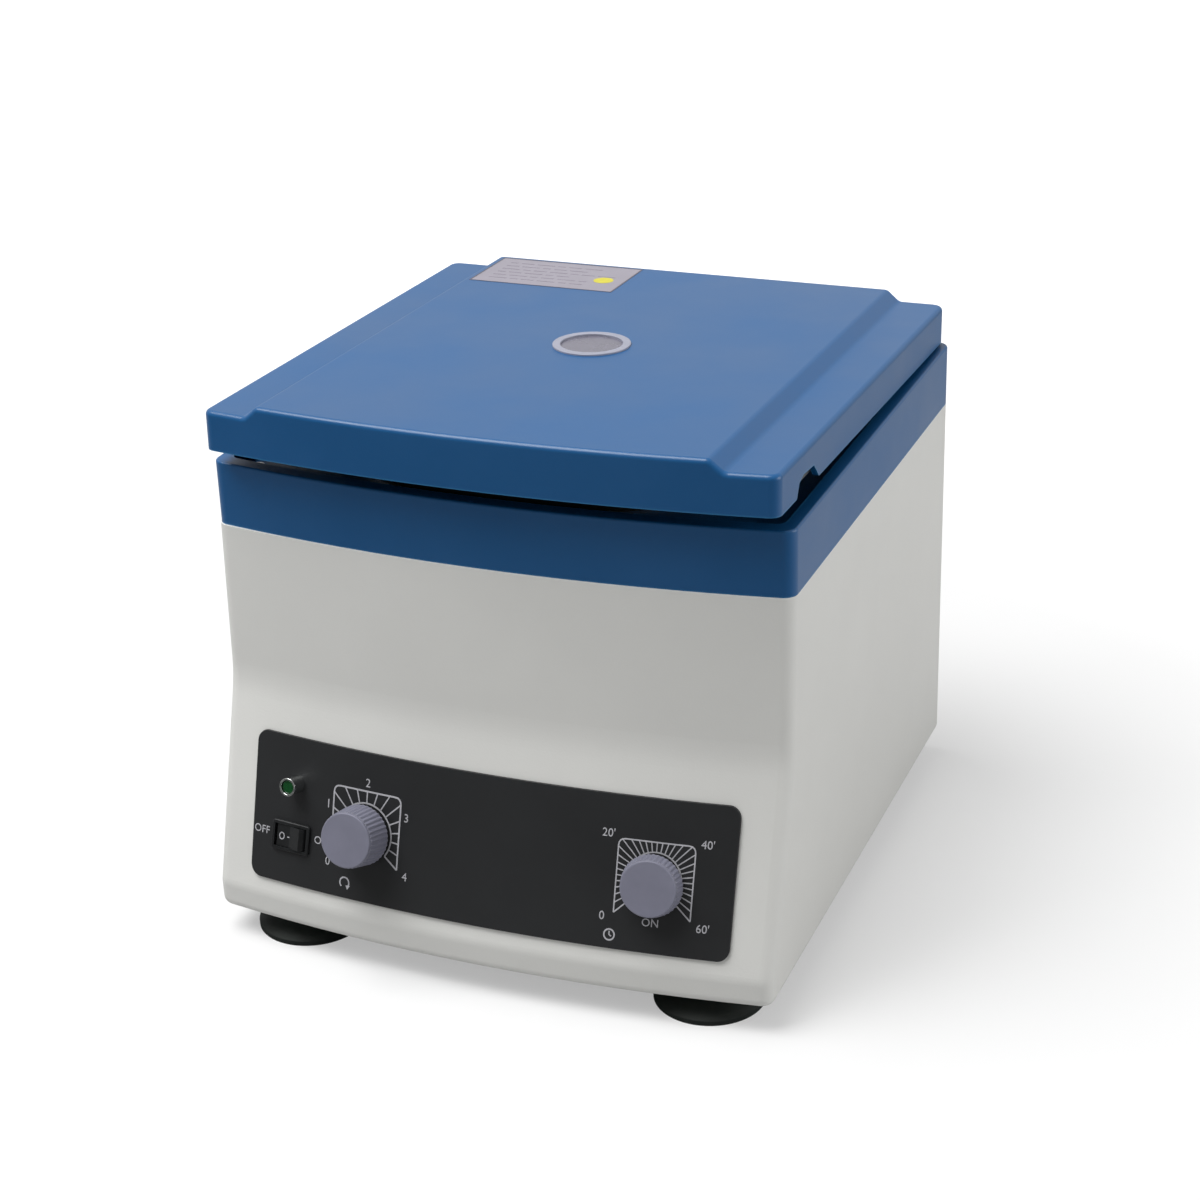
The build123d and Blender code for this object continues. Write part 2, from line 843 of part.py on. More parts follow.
# Liner: flat plate that closes the lid from below, held by screws into the posts
with BuildPart() as lid_liner:
    with BuildSketch(lid_plane.offset(liner_low)):
        inner = lid_wall + liner_gap
        bowed_outline(
            lid_width - 2 * inner,
            -hinge_offset - inner,
            -hinge_offset - lid_depth + inner,
            lid_corner_round - inner,
        )
        with Locations((0, window_y)):
            Circle(window_radius + liner_window_gap, mode=Mode.SUBTRACT)
        with Locations(*post_spots):
            Circle(liner_screw_radius + screw_play, mode=Mode.SUBTRACT)
    extrude(amount=liner_thickness)
lid_liner.part.label = "lid_liner"

with BuildPart() as liner_screws:
    with BuildSketch(lid_plane.offset(liner_low)):
        with Locations(*post_spots):
            Circle(liner_screw_head)
    extrude(amount=-liner_screw_head_height)
    with BuildSketch(lid_plane.offset(liner_low)):
        with Locations(*post_spots):
            Circle(liner_screw_radius)
    extrude(amount=liner_thickness)
liner_screws.part.label = "liner_screws"

# Window: clear disc in a flanged ring over the rotor's centre
with BuildPart() as window_ring:
    with BuildSketch(lid_plane.offset(plateau_top)):
        with Locations((0, window_y)):
            Circle(window_radius + window_ring_width)
            Circle(window_radius - window_overlap, mode=Mode.SUBTRACT)
    extrude(amount=window_ring_height)
    with BuildSketch(lid_plane.offset(plateau_top)):
        with Locations((0, window_y)):
            Circle(window_radius)
            Circle(window_radius - window_overlap, mode=Mode.SUBTRACT)
    extrude(amount=-(lid_wall + window_ring_reach))
    fillet(window_ring.faces().sort_by(Axis.Z)[-1].edges(), window_edge_round)
window_ring.part.label = "window_ring"

with BuildPart() as window_pane:
    with BuildSketch(lid_plane.offset(plateau_top - window_sink)):
        with Locations((0, window_y)):
            Circle(window_radius - window_overlap - thread_play)
    extrude(amount=-window_thickness)
window_pane.part.label = "window_pane"

# Hinges: two knuckles on the fixed leaf, one on the lid's leaf, a loose pin through all
hinge_length = 2 * knuckle_length + middle_knuckle + 2 * knuckle_gap
hinge_xs = [-hinge_spacing / 2, hinge_spacing / 2]
side_knuckle = (middle_knuckle + knuckle_length) / 2 + knuckle_gap

with BuildPart() as hinge_leaves_fixed:
    for hinge_x in hinge_xs:
        with BuildSketch(Plane.XZ.offset(-case_rear - leaf_thickness)):
            with Locations((hinge_x, hinge_z)):
                Rectangle(hinge_length, fixed_leaf_height, align=(Align.CENTER, Align.MAX))
            with Locations((hinge_x, hinge_z)):
                Rectangle(
                    middle_knuckle + 2 * knuckle_gap,
                    2 * (knuckle_radius + leaf_slot_gap),
                    mode=Mode.SUBTRACT,
                )
        extrude(amount=leaf_thickness)
        for side in (-1, 1):
            with BuildSketch(Plane.YZ.offset(hinge_x + side * side_knuckle - knuckle_length / 2)):
                with Locations((hinge_y, hinge_z)):
                    Circle(knuckle_radius)
                with Locations((case_rear, hinge_z - knuckle_radius)):
                    Rectangle(hinge_offset, knuckle_radius, align=(Align.MIN, Align.MIN))
            extrude(amount=knuckle_length)
    with BuildSketch(Plane.YZ.offset(-hinge_spacing)):
        with Locations((hinge_y, hinge_z)):
            Circle(pin_radius + pin_play)
    extrude(amount=2 * hinge_spacing, mode=Mode.SUBTRACT)
    with BuildSketch(Plane.XZ.offset(-case_rear - leaf_thickness)):
        with Locations(*leaf_holes):
            Circle(leaf_screw_radius)
    extrude(amount=leaf_thickness, mode=Mode.SUBTRACT)
hinge_leaves_fixed.part.label = "hinge_leaves_fixed"

with BuildPart() as hinge_leaves_lid:
    for hinge_x in hinge_xs:
        with BuildSketch(lid_end.offset(hinge_offset - leaf_thickness)):
            with Locations((hinge_x, lid_low)):
                Rectangle(hinge_length, lid_leaf_height, align=(Align.CENTER, Align.MIN))
            for side in (-1, 1):
                with Locations((hinge_x + side * side_knuckle, 0)):
                    Rectangle(
                        knuckle_length + 2 * knuckle_gap,
                        2 * (knuckle_radius + leaf_slot_gap),
                        mode=Mode.SUBTRACT,
                    )
        extrude(amount=leaf_thickness)
        with BuildSketch(side_plane.offset(hinge_x - middle_knuckle / 2)):
            Circle(knuckle_radius)
            with Locations((-hinge_offset, 0)):
                Rectangle(hinge_offset, knuckle_radius, align=(Align.MIN, Align.MIN))
        extrude(amount=middle_knuckle)
    with BuildSketch(side_plane.offset(-hinge_spacing)):
        Circle(pin_radius + pin_play)
    extrude(amount=2 * hinge_spacing, mode=Mode.SUBTRACT)
    with BuildSketch(lid_end.offset(hinge_offset - leaf_thickness)):
        with Locations(*lid_leaf_holes):
            Circle(leaf_screw_radius)
    extrude(amount=leaf_thickness, mode=Mode.SUBTRACT)
hinge_leaves_lid.part.label = "hinge_leaves_lid"

with BuildPart() as hinge_pins:
    for hinge_x in hinge_xs:
        with BuildSketch(Plane.YZ.offset(hinge_x - hinge_length / 2)):
            with Locations((hinge_y, hinge_z)):
                Circle(pin_radius)
        extrude(amount=hinge_length)
        for side in (-1, 1):
            with BuildSketch(Plane.YZ.offset(hinge_x + side * hinge_length / 2)):
                with Locations((hinge_y, hinge_z)):
                    Circle(pin_radius + pin_head_step)
            extrude(amount=side * pin_head)
hinge_pins.part.label = "hinge_pins"

with BuildPart() as hinge_screws_fixed:
    with BuildSketch(Plane.XZ.offset(-case_rear - leaf_thickness)):
        with Locations(*leaf_holes):
            Circle(leaf_screw_head)
    extrude(amount=-leaf_screw_head_height)
    with BuildSketch(Plane.XZ.offset(-case_rear - leaf_thickness)):
        with Locations(*leaf_holes):
            Circle(leaf_screw_radius - thread_play)
    extrude(amount=leaf_thickness + lid_wall + leaf_screw_grip)
hinge_screws_fixed.part.label = "hinge_screws_fixed"

with BuildPart() as hinge_screws_lid:
    with BuildSketch(lid_end.offset(hinge_offset - leaf_thickness)):
        with Locations(*lid_leaf_holes):
            Circle(leaf_screw_head)
    extrude(amount=-leaf_screw_head_height)
    with BuildSketch(lid_end.offset(hinge_offset - leaf_thickness)):
        with Locations(*lid_leaf_holes):
            Circle(leaf_screw_radius - thread_play)
    extrude(amount=leaf_thickness + lid_leaf_screw_bite - leaf_screw_clear)
hinge_screws_lid.part.label = "hinge_screws_lid"

# Motor: drawn can with end bells, standing on a plate that floats on rubber
plate_low = floor_top + damper_height
plate_top = plate_low + mount_plate_thickness
boot_top = bowl_floor - bowl_sheet
bearing_top = boot_top - boot_height
bell_top = bearing_top - bearing_height
can_top = bell_top - bell_height
can_low = plate_top + bell_height
shaft_low = can_low + shaft_foot

with BuildPart() as motor_can:
    with BuildSketch(rotor_plane):
        with BuildLine():
            Polyline(
                (0, can_low),
                (motor_radius, can_low),
                (motor_radius, can_top),
                (shaft_radius + shaft_bore_step, can_top),
                (shaft_radius + shaft_bore_step, shaft_low - shaft_bore_step),
                (0, shaft_low - shaft_bore_step),
                close=True,
            )
        make_face()
    revolve(axis=rotor_axis)
motor_can.part.label = "motor_can"

with BuildPart() as motor_end_bells:
    with BuildSketch(rotor_plane):
        with BuildLine():
            Polyline(
                (0, plate_top),
                (motor_radius - bell_lower_inset, plate_top),
                (motor_radius + bell_step, plate_top + bell_lower_rise),
                (motor_radius + bell_step, can_low),
                (0, can_low),
                close=True,
            )
        make_face()
        with BuildLine():
            Polyline(
                (shaft_radius + shaft_play, can_top),
                (motor_radius + bell_step, can_top),
                (motor_radius + bell_step, can_top + bell_upper_rise),
                (motor_radius - bell_upper_inset, bell_top),
                (bearing_radius, bell_top),
                (bearing_radius, bearing_top - bearing_bevel),
                (bearing_radius - bearing_bevel, bearing_top),
                (shaft_radius + shaft_play, bearing_top),
                close=True,
            )
        make_face()
    revolve(axis=rotor_axis)
motor_end_bells.part.label = "motor_end_bells"

with BuildPart() as brush_caps:
    for side in (-1, 1):
        with BuildSketch(Plane.YZ.offset(side * (motor_radius + brush_seat))):
            with Locations((rotor_y, can_low + brush_height)):
                Circle(brush_radius)
        extrude(amount=side * brush_length)
brush_caps.part.label = "brush_caps"

with BuildPart() as motor_plate:
    with BuildSketch(Plane.XY.offset(plate_low)):
        with Locations((0, rotor_y)):
            RectangleRounded(mount_plate_size, mount_plate_size, mount_plate_round)
        with Locations(*damper_spots):
            Circle(stud_radius + screw_play, mode=Mode.SUBTRACT)
    extrude(amount=mount_plate_thickness)
motor_plate.part.label = "motor_plate"

with BuildPart() as motor_dampers:
    with BuildSketch(Plane.XY.offset(floor_top)):
        with Locations(*damper_spots):
            Circle(damper_radius)
            Circle(stud_radius + screw_play, mode=Mode.SUBTRACT)
    extrude(amount=damper_height)
motor_dampers.part.label = "motor_dampers"

with BuildPart() as damper_bolts:
    with BuildSketch(Plane.XY.offset(foot_height)):
        with Locations(*damper_spots):
            Circle(bolt_head_radius)
    extrude(amount=-bolt_head_height)
    with BuildSketch(Plane.XY.offset(foot_height)):
        with Locations(*damper_spots):
            Circle(stud_radius)
    extrude(amount=plate_top + bolt_reach - foot_height)
damper_bolts.part.label = "damper_bolts"

with BuildPart() as damper_nuts:
    with BuildSketch(Plane.XY.offset(plate_top)):
        with Locations(*damper_spots):
            RegularPolygon(damper_nut_radius, 6)
            Circle(stud_radius + thread_play, mode=Mode.SUBTRACT)
    extrude(amount=damper_nut_height)
damper_nuts.part.label = "damper_nuts"

# Boot: rubber cuff between the motor's bearing neck and the bowl's floor
boot_inner = bearing_radius + boot_gap
with BuildPart() as shaft_boot:
    with BuildSketch(rotor_plane):
        with BuildLine():
            Polyline(
                (boot_inner, bearing_top - boot_skirt),
                (boot_inner + boot_wall, bearing_top - boot_skirt),
                (boot_inner + boot_wall, bearing_top - boot_shoulder),
                (bowl_hole + boot_flange_in, boot_top - boot_wall),
                (bowl_hole + boot_flange_out, boot_top - boot_wall),
                (bowl_hole + boot_flange_out, boot_top),
                (bowl_hole + boot_throat, boot_top),
                (boot_inner, bearing_top + boot_shoulder / 2),
                close=True,
            )
        make_face()
    revolve(axis=rotor_axis)
shaft_boot.part.label = "shaft_boot"

# Rotor: cast hub and dished band with slanted sockets, and a skirt that slopes as they do
tilt = radians(sleeve_tilt)
mouth_z = deck_top - mouth_drop
sleeve_radius = sleeve_bore + sleeve_wall
band_in = (mouth_radius - band_half * cos(tilt), mouth_z - band_half * sin(tilt))
band_out = (mouth_radius + band_half * cos(tilt), mouth_z + band_half * sin(tilt))
rim_out = (band_out[0] + skirt_thickness * cos(tilt), band_out[1] + skirt_thickness * sin(tilt))
skirt_out = (rim_out[0] + skirt_length * sin(tilt), rim_out[1] - skirt_length * cos(tilt))
skirt_in = (skirt_out[0] - skirt_thickness * cos(tilt), skirt_out[1] - skirt_thickness * sin(tilt))
band_under_out = (band_out[0] + band_thickness * sin(tilt), band_out[1] - band_thickness * cos(tilt))
band_under_in = (band_in[0] + band_thickness * sin(tilt), band_in[1] - band_thickness * cos(tilt))
hub_top = band_in[1]
hub_low = hub_top - hub_length
hub_bore = shaft_radius + shaft_fit

with BuildPart() as rotor:
    with BuildSketch(rotor_plane):
        with BuildLine():
            Polyline(
                (hub_bore, hub_low),
                (hub_radius, hub_low),
                (hub_radius, band_under_in[1] - hub_web),
                (band_under_in[0] - 3 * hub_web, band_under_in[1] - hub_web),
                band_under_in,
                band_under_out,
                skirt_in,
                skirt_out,
                rim_out,
                band_out,
                band_in,
                (hub_bore, hub_top),
                close=True,
            )
        make_face()
    revolve(axis=rotor_axis)
    for index in range(sleeve_count):
        around = radians(360.0 * index / sleeve_count + 180.0 / sleeve_count)
        out = Vector(cos(around), sin(around), 0)
        socket = Plane(
            origin=Vector(0, rotor_y, mouth_z) + out * mouth_radius,
            x_dir=(-sin(around), cos(around), 0),
            z_dir=out * -sin(tilt) + Vector(0, 0, cos(tilt)),
        )
        with BuildSketch(socket.offset(-seat_depth)):
            Circle(sleeve_radius + sleeve_flange + seat_play)
        extrude(amount=seat_depth + seat_clear, mode=Mode.SUBTRACT)
        with BuildSketch(socket.offset(seat_clear)):
            Circle(sleeve_radius + sleeve_play)
        extrude(amount=-band_thickness - seat_clear - 12, mode=Mode.SUBTRACT)
rotor.part.label = "rotor"

with BuildPart() as tube_sleeves:
    for index in range(sleeve_count):
        around = radians(360.0 * index / sleeve_count + 180.0 / sleeve_count)
        out = Vector(cos(around), sin(around), 0)
        socket = Plane(
            origin=Vector(0, rotor_y, mouth_z) + out * mouth_radius,
            x_dir=(-sin(around), cos(around), 0),
            z_dir=out * -sin(tilt) + Vector(0, 0, cos(tilt)),
        )
        with BuildSketch(socket.offset(-seat_depth)):
            Circle(sleeve_radius + sleeve_flange)
        extrude(amount=sleeve_flange_height)
        with BuildSketch(socket.offset(-seat_depth)):
            Circle(sleeve_radius)
        extrude(amount=-sleeve_length)
        with BuildSketch(socket.offset(-seat_depth + sleeve_flange_height)):
            Circle(sleeve_bore)
        extrude(amount=-(sleeve_length + sleeve_flange_height - sleeve_floor), mode=Mode.SUBTRACT)
tube_sleeves.part.label = "tube_sleeves"

shaft_top = hub_top + washer_height + nut_height - shaft_stop_short
with BuildPart() as motor_shaft:
    with BuildSketch(Plane.XY.offset(shaft_low)):
        with Locations((0, rotor_y)):
            Circle(shaft_radius)
    extrude(amount=shaft_top - shaft_low)
    with BuildSketch(Plane.XY.offset(hub_low)):
        with Locations((0, rotor_y)):
            Circle(hub_radius - shaft_collar_step)
    extrude(amount=-shaft_collar_step)
motor_shaft.part.label = "motor_shaft"

with BuildPart() as rotor_washer:
    with BuildSketch(Plane.XY.offset(hub_top)):
        with Locations((0, rotor_y)):
            Circle(nut_radius + washer_step)
            Circle(shaft_radius + shaft_play, mode=Mode.SUBTRACT)
    extrude(amount=washer_height)
rotor_washer.part.label = "rotor_washer"

with BuildPart() as rotor_nut:
    with BuildSketch(Plane.XY.offset(hub_top + washer_height)):
        with Locations((0, rotor_y)):
            RegularPolygon(nut_radius, 6)
    extrude(amount=nut_hex_height)
    with BuildSketch(Plane.XY.offset(hub_top + washer_height + nut_hex_height)):
        with Locations((0, rotor_y)):
            Circle(nut_radius - nut_dome_step)
    extrude(amount=nut_height - nut_hex_height)
    fillet(rotor_nut.faces().sort_by(Axis.Z)[-1].edges(), nut_dome_round)
    with BuildSketch(Plane.XY.offset(hub_top + washer_height)):
        with Locations((0, rotor_y)):
            Circle(shaft_radius + shaft_play)
    extrude(amount=shaft_top - hub_top - washer_height + shaft_end_gap, mode=Mode.SUBTRACT)
rotor_nut.part.label = "rotor_nut"

# Control panel: black plate bent to the sloped, bowed front
panel_high = panel_low + panel_height
with BuildPart() as control_panel:
    with BuildSketch(bow_plane):
        with BuildLine():
            low_r = bow_radius + slope_step(panel_low - panel_margin)
            high_r = bow_radius + slope_step(panel_high + panel_margin)
            back = panel_gap / cos(slope)
            front = panel_thickness / cos(slope)
            Polyline(
                (low_r + back, housing_low + panel_low - panel_margin),
                (high_r + back, housing_low + panel_high + panel_margin),
                (high_r + front, housing_low + panel_high + panel_margin),
                (low_r + front, housing_low + panel_low - panel_margin),
                close=True,
            )
        make_face()
    revolve(axis=bow_axis, revolution_arc=bow_sweep)
    with BuildSketch(Plane.XZ.offset(-case_rear)):
        with Locations((0, housing_low + panel_low + panel_height / 2)):
            RectangleRounded(panel_width, panel_height, panel_round)
    extrude(amount=2 * case_depth, mode=Mode.INTERSECT)
    for spot in (speed_spot, time_spot):
        with BuildSketch(spot.offset(panel_thickness + panel_margin / 2)):
            Circle(control_bush_radius + hole_play)
        extrude(amount=-hole_depth, mode=Mode.SUBTRACT)
    with BuildSketch(lamp_spot.offset(panel_thickness + panel_margin / 2)):
        Circle(lamp_radius - lamp_step + hole_play)
    extrude(amount=-hole_depth, mode=Mode.SUBTRACT)
    with BuildSketch(switch_spot.offset(panel_thickness + panel_margin / 2)):
        Rectangle(switch_body_width + 2 * hole_play, switch_body_tall + 2 * hole_play)
    extrude(amount=-hole_depth, mode=Mode.SUBTRACT)
control_panel.part.label = "control_panel"

# Switch: rocker in a snap-in frame, off side pressed in
inside_depth = case_wall * cos(slope) + back_gap
rocker_pivot = switch_spot.offset(panel_thickness - rocker_sink)
rocker_end = Plane(
    origin=rocker_pivot.origin - rocker_pivot.y_dir * (rocker_tall / 2),
    x_dir=rocker_pivot.x_dir,
    z_dir=-rocker_pivot.y_dir,
)
with BuildPart() as switch_housing:
    with BuildSketch(switch_spot.offset(panel_thickness + switch_seat)):
        RectangleRounded(switch_width, switch_tall, switch_round)
    extrude(amount=switch_bezel)
    switch_face = switch_housing.faces().sort_by(Axis(switch_spot.origin, switch_spot.z_dir))[-1]
    fillet(switch_face.edges(), switch_edge_round)
    with BuildSketch(switch_spot.offset(panel_thickness + switch_seat)):
        Rectangle(switch_body_width, switch_body_tall)
    extrude(amount=-switch_depth)
    with BuildSketch(switch_spot.offset(panel_thickness + switch_bezel + switch_seat)):
        Rectangle(2 * (rocker_reach + rocker_gap), rocker_tall + 2 * rocker_gap)
    extrude(amount=-(switch_bezel + switch_well), mode=Mode.SUBTRACT)
    with BuildSketch(switch_spot.offset(panel_thickness + switch_seat - switch_depth)):
        with GridLocations(tag_spacing, 0, 2, 1):
            Rectangle(tag_thickness, tag_width)
    extrude(amount=-tag_length)
switch_housing.part.label = "switch_housing"

tip = radians(rocker_tilt)
rocker_face = Plane(
    origin=rocker_end.origin,
    x_dir=rocker_pivot.x_dir * cos(tip) + rocker_pivot.z_dir * sin(tip),
    z_dir=rocker_end.z_dir,
)
with BuildPart() as power_rocker:
    with BuildSketch(rocker_face):
        Circle(rocker_reach)
        with BuildLine():
            Polyline(
                (-rocker_reach, -rocker_foot),
                (rocker_reach, -rocker_foot),
                (rocker_reach, rocker_ridge),
                (0, rocker_valley),
                (-rocker_reach, rocker_ridge),
                close=True,
            )
        make_face(mode=Mode.INTERSECT)
    extrude(amount=-rocker_tall)
power_rocker.part.label = "power_rocker"

# Pilot lamp: chromed bezel with a green lens
with BuildPart() as lamp_bezel:
    with BuildSketch(lamp_spot.offset(panel_thickness + front_seat)):
        Circle(lamp_radius)
        Circle(lens_radius + thread_play, mode=Mode.SUBTRACT)
    extrude(amount=lamp_stand)
    with BuildSketch(lamp_spot.offset(panel_thickness + front_seat)):
        Circle(lamp_radius - lamp_step)
        Circle(lens_radius - lens_seat, mode=Mode.SUBTRACT)
    extrude(amount=-lamp_depth)
    bezel_face = lamp_bezel.faces().sort_by(Axis(lamp_spot.origin, lamp_spot.z_dir))[-1]
    fillet(bezel_face.edges(), lamp_edge_round)
lamp_bezel.part.label = "lamp_bezel"

with BuildPart() as lamp_lens:
    with BuildSketch(lamp_spot.offset(panel_thickness + front_seat)):
        Circle(lens_radius)
    extrude(amount=lamp_stand - lens_drop)
    lens_face = lamp_lens.faces().sort_by(Axis(lamp_spot.origin, lamp_spot.z_dir))[-1]
    fillet(lens_face.edges(), lens_round)
lamp_lens.part.label = "lamp_lens"

# Speed control: potentiometer behind the panel, its nut in front
bush_proud = panel_thickness + control_nut_height + control_bush_proud
with BuildPart() as potentiometer:
    with BuildSketch(speed_spot.offset(-inside_depth)):
        Circle(pot_radius)
    extrude(amount=-pot_depth)
    with BuildSketch(speed_spot.offset(-inside_depth)):
        Circle(control_bush_radius)
    extrude(amount=inside_depth + bush_proud)
    with BuildSketch(speed_spot.offset(-inside_depth - pot_shaft_depth)):
        with Locations((0, -pot_radius - shaft_bore_extra)):
            with GridLocations(pot_tag_pitch, 0, 3, 1):
                Rectangle(pot_tag_width, pot_tag_length)
    extrude(amount=-pot_tag_thickness)
    with BuildSketch(speed_spot.offset(control_shaft_reach)):
        Circle(control_shaft_radius + shaft_play)
    bore_length = control_shaft_reach + inside_depth + pot_shaft_depth + shaft_bore_extra
    extrude(amount=-bore_length, mode=Mode.SUBTRACT)
potentiometer.part.label = "potentiometer"

with BuildPart() as timer:
    with BuildSketch(time_spot.offset(-inside_depth - timer_gap)):
        RectangleRounded(timer_size, timer_size, timer_round)
    extrude(amount=-timer_depth)
    with BuildSketch(time_spot.offset(-inside_depth - timer_gap)):
        Circle(control_bush_radius)
    extrude(amount=inside_depth + timer_gap + bush_proud)
    with BuildSketch(time_spot.offset(control_shaft_reach)):
        Circle(control_shaft_radius + shaft_play)
    bore_length = control_shaft_reach + inside_depth + timer_shaft_depth + shaft_bore_extra
    extrude(amount=-bore_length, mode=Mode.SUBTRACT)
timer.part.label = "timer"

with BuildPart() as control_nuts:
    for spot in (speed_spot, time_spot):
        with BuildSketch(spot.offset(panel_thickness + front_seat)):
            RegularPolygon(control_nut_radius, 6)
            Circle(control_bush_radius + thread_play, mode=Mode.SUBTRACT)
        extrude(amount=control_nut_height)
control_nuts.part.label = "control_nuts"

# Knobs: tapered, finely fluted, with a plain cap, on round shafts
nut_room = control_nut_radius + knob_nut_gap


def knob_body(spot, stand, length):
    """Fluted knob standing off the panel, hollow over the nut, bored for its shaft."""
    low = panel_thickness + stand
    side = length - knob_cap
    with BuildPart() as knob:
        for height, radius in ((0, knob_base_radius), (side, knob_face_radius)):
            with BuildSketch(spot.offset(low + height)):
                corners = []
                for index in range(knob_ribs):
                    for turn, depth in ((0, 0), (0.5, knob_rib_depth)):
                        around = 2 * pi * (index + turn) / knob_ribs
                        corners.append(((radius - depth) * cos(around), (radius - depth) * sin(around)))
                Polygon(*corners, align=None)
        loft(ruled=True)
        with BuildSketch(spot.offset(low + side)):
            Circle(knob_face_radius - knob_rib_depth)
        extrude(amount=knob_cap)
        fillet(knob.faces().sort_by(Axis(spot.origin, spot.z_dir))[-1].edges(), knob_edge_round)
        with BuildSketch(spot.offset(low)):
            Circle(nut_room)
        extrude(amount=side * knob_hollow_share, mode=Mode.SUBTRACT)
        with BuildSketch(spot.offset(low)):
            Circle(control_shaft_radius + knob_fit)
        extrude(amount=side, mode=Mode.SUBTRACT)
    return knob.part


with BuildPart() as speed_knob:
    add(knob_body(speed_spot, speed_knob_stand, speed_knob_length))
speed_knob.part.label = "speed_knob"

with BuildPart() as time_knob:
    add(knob_body(time_spot, time_knob_stand, time_knob_length))
time_knob.part.label = "time_knob"

with BuildPart() as speed_shaft:
    with BuildSketch(speed_spot.offset(-inside_depth - pot_shaft_depth)):
        Circle(control_shaft_radius)
    extrude(amount=inside_depth + pot_shaft_depth + knob_top - knob_cap - shaft_end_gap)
speed_shaft.part.label = "speed_shaft"

with BuildPart() as timer_shaft:
    with BuildSketch(time_spot.offset(-inside_depth - timer_shaft_depth)):
        Circle(control_shaft_radius)
    time_knob_top = panel_thickness + time_knob_stand + time_knob_length
    extrude(amount=inside_depth + timer_shaft_depth + time_knob_top - knob_cap - shaft_end_gap)
timer_shaft.part.label = "timer_shaft"

# Rear wall: power inlet and fuse holder
rear_plane = Plane(origin=(0, case_rear, 0), x_dir=(-1, 0, 0), z_dir=(0, 1, 0))
inlet_spot = (-inlet_x, housing_low + inlet_height)
fuse_spot = (-fuse_x, housing_low + inlet_height)
with BuildPart() as power_inlet:
    with BuildSketch(rear_plane):
        with Locations(inlet_spot):
            RectangleRounded(inlet_width, inlet_tall, inlet_round)
    extrude(amount=inlet_lip)
    with BuildSketch(rear_plane):
        with Locations(inlet_spot):
            Rectangle(inlet_body_width, inlet_body_tall)
    extrude(amount=-inlet_depth)
    with BuildSketch(rear_plane.offset(inlet_lip)):
        with Locations(inlet_spot):
            Polygon(
                (-socket_width / 2, -socket_tall / 2),
                (socket_width / 2, -socket_tall / 2),
                (socket_width / 2, socket_tall / 2 - socket_bevel),
                (socket_width / 2 - socket_bevel, socket_tall / 2),
                (-socket_width / 2 + socket_bevel, socket_tall / 2),
                (-socket_width / 2, socket_tall / 2 - socket_bevel),
                align=None,
            )
    extrude(amount=-socket_depth, mode=Mode.SUBTRACT)
    with BuildSketch(rear_plane.offset(inlet_lip - socket_depth)):
        with Locations(inlet_spot):
            with Locations((-blade_spacing, blade_low), (blade_spacing, blade_low), (0, blade_high)):
                Rectangle(blade_width, blade_tall)
    extrude(amount=blade_length)
power_inlet.part.label = "power_inlet"

with BuildPart() as fuse_holder:
    with BuildSketch(rear_plane):
        with Locations(fuse_spot):
            Circle(fuse_radius + fuse_flange_step)
    extrude(amount=fuse_flange)
    with BuildSketch(rear_plane):
        with Locations(fuse_spot):
            Circle(fuse_body_radius)
    extrude(amount=-fuse_depth)
    with BuildSketch(rear_plane.offset(fuse_flange)):
        with Locations(fuse_spot):
            Circle(fuse_body_radius - fuse_wall)
    extrude(amount=-fuse_well, mode=Mode.SUBTRACT)
fuse_holder.part.label = "fuse_holder"

with BuildPart() as fuse_cap:
    with BuildSketch(rear_plane.offset(fuse_flange)):
        with Locations(fuse_spot):
            Circle(fuse_radius - fuse_cap_step)
    extrude(amount=fuse_cap_length - fuse_flange)
    with BuildSketch(rear_plane.offset(fuse_flange)):
        with Locations(fuse_spot):
            Circle(fuse_body_radius - fuse_plug_gap)
    extrude(amount=-fuse_plug_length)
    with BuildSketch(rear_plane.offset(fuse_cap_length)):
        with Locations(fuse_spot):
            Rectangle(fuse_slot_width, fuse_slot_length)
    extrude(amount=-fuse_slot_width, mode=Mode.SUBTRACT)
fuse_cap.part.label = "fuse_cap"

with BuildPart() as fuse:
    with BuildSketch(rear_plane.offset(-fuse_low)):
        with Locations(fuse_spot):
            Circle(fuse_glass_radius)
    extrude(amount=-fuse_length)
fuse.part.label = "fuse"

# Speed regulator board on spacers, with its heat sink and capacitor
board_low = floor_top + board_stand
with BuildPart() as board_spacers:
    with BuildSketch(Plane.XY.offset(floor_top)):
        with Locations(*board_screw_spots):
            RegularPolygon(spacer_radius, 6)
    extrude(amount=board_stand)
    with BuildSketch(Plane.XY.offset(board_low)):
        with Locations(*board_screw_spots):
            Circle(board_screw_radius)
    extrude(amount=board_thickness + spacer_stud)
    with BuildSketch(Plane.XY.offset(floor_top)):
        with Locations(*board_screw_spots):
            Circle(board_hole_radius)
    extrude(amount=-sheet)
board_spacers.part.label = "board_spacers"

with BuildPart() as circuit_board:
    with BuildSketch(Plane.XY.offset(board_low)):
        with Locations((board_x, board_y)):
            Rectangle(board_width, board_depth)
        with Locations(*board_screw_spots):
            Circle(board_hole_radius, mode=Mode.SUBTRACT)
    extrude(amount=board_thickness)
circuit_board.part.label = "circuit_board"

with BuildPart() as heat_sink:
    with BuildSketch(Plane.XY.offset(board_low + board_thickness)):
        with Locations((board_x, board_y + sink_forward)):
            Rectangle(sink_width, sink_back)
            with Locations((0, fin_set)):
                with GridLocations(fin_pitch, 0, fin_count, 1):
                    Rectangle(fin_thickness, fin_length)
    extrude(amount=sink_height)
heat_sink.part.label = "heat_sink"

with BuildPart() as capacitor:
    with BuildSketch(Plane.XY.offset(board_low + board_thickness)):
        with Locations((board_x, board_y - capacitor_behind)):
            Circle(capacitor_radius)
    extrude(amount=capacitor_height)
    fillet(capacitor.edges().sort_by(Axis.Z)[-1], capacitor_round)
capacitor.part.label = "capacitor"

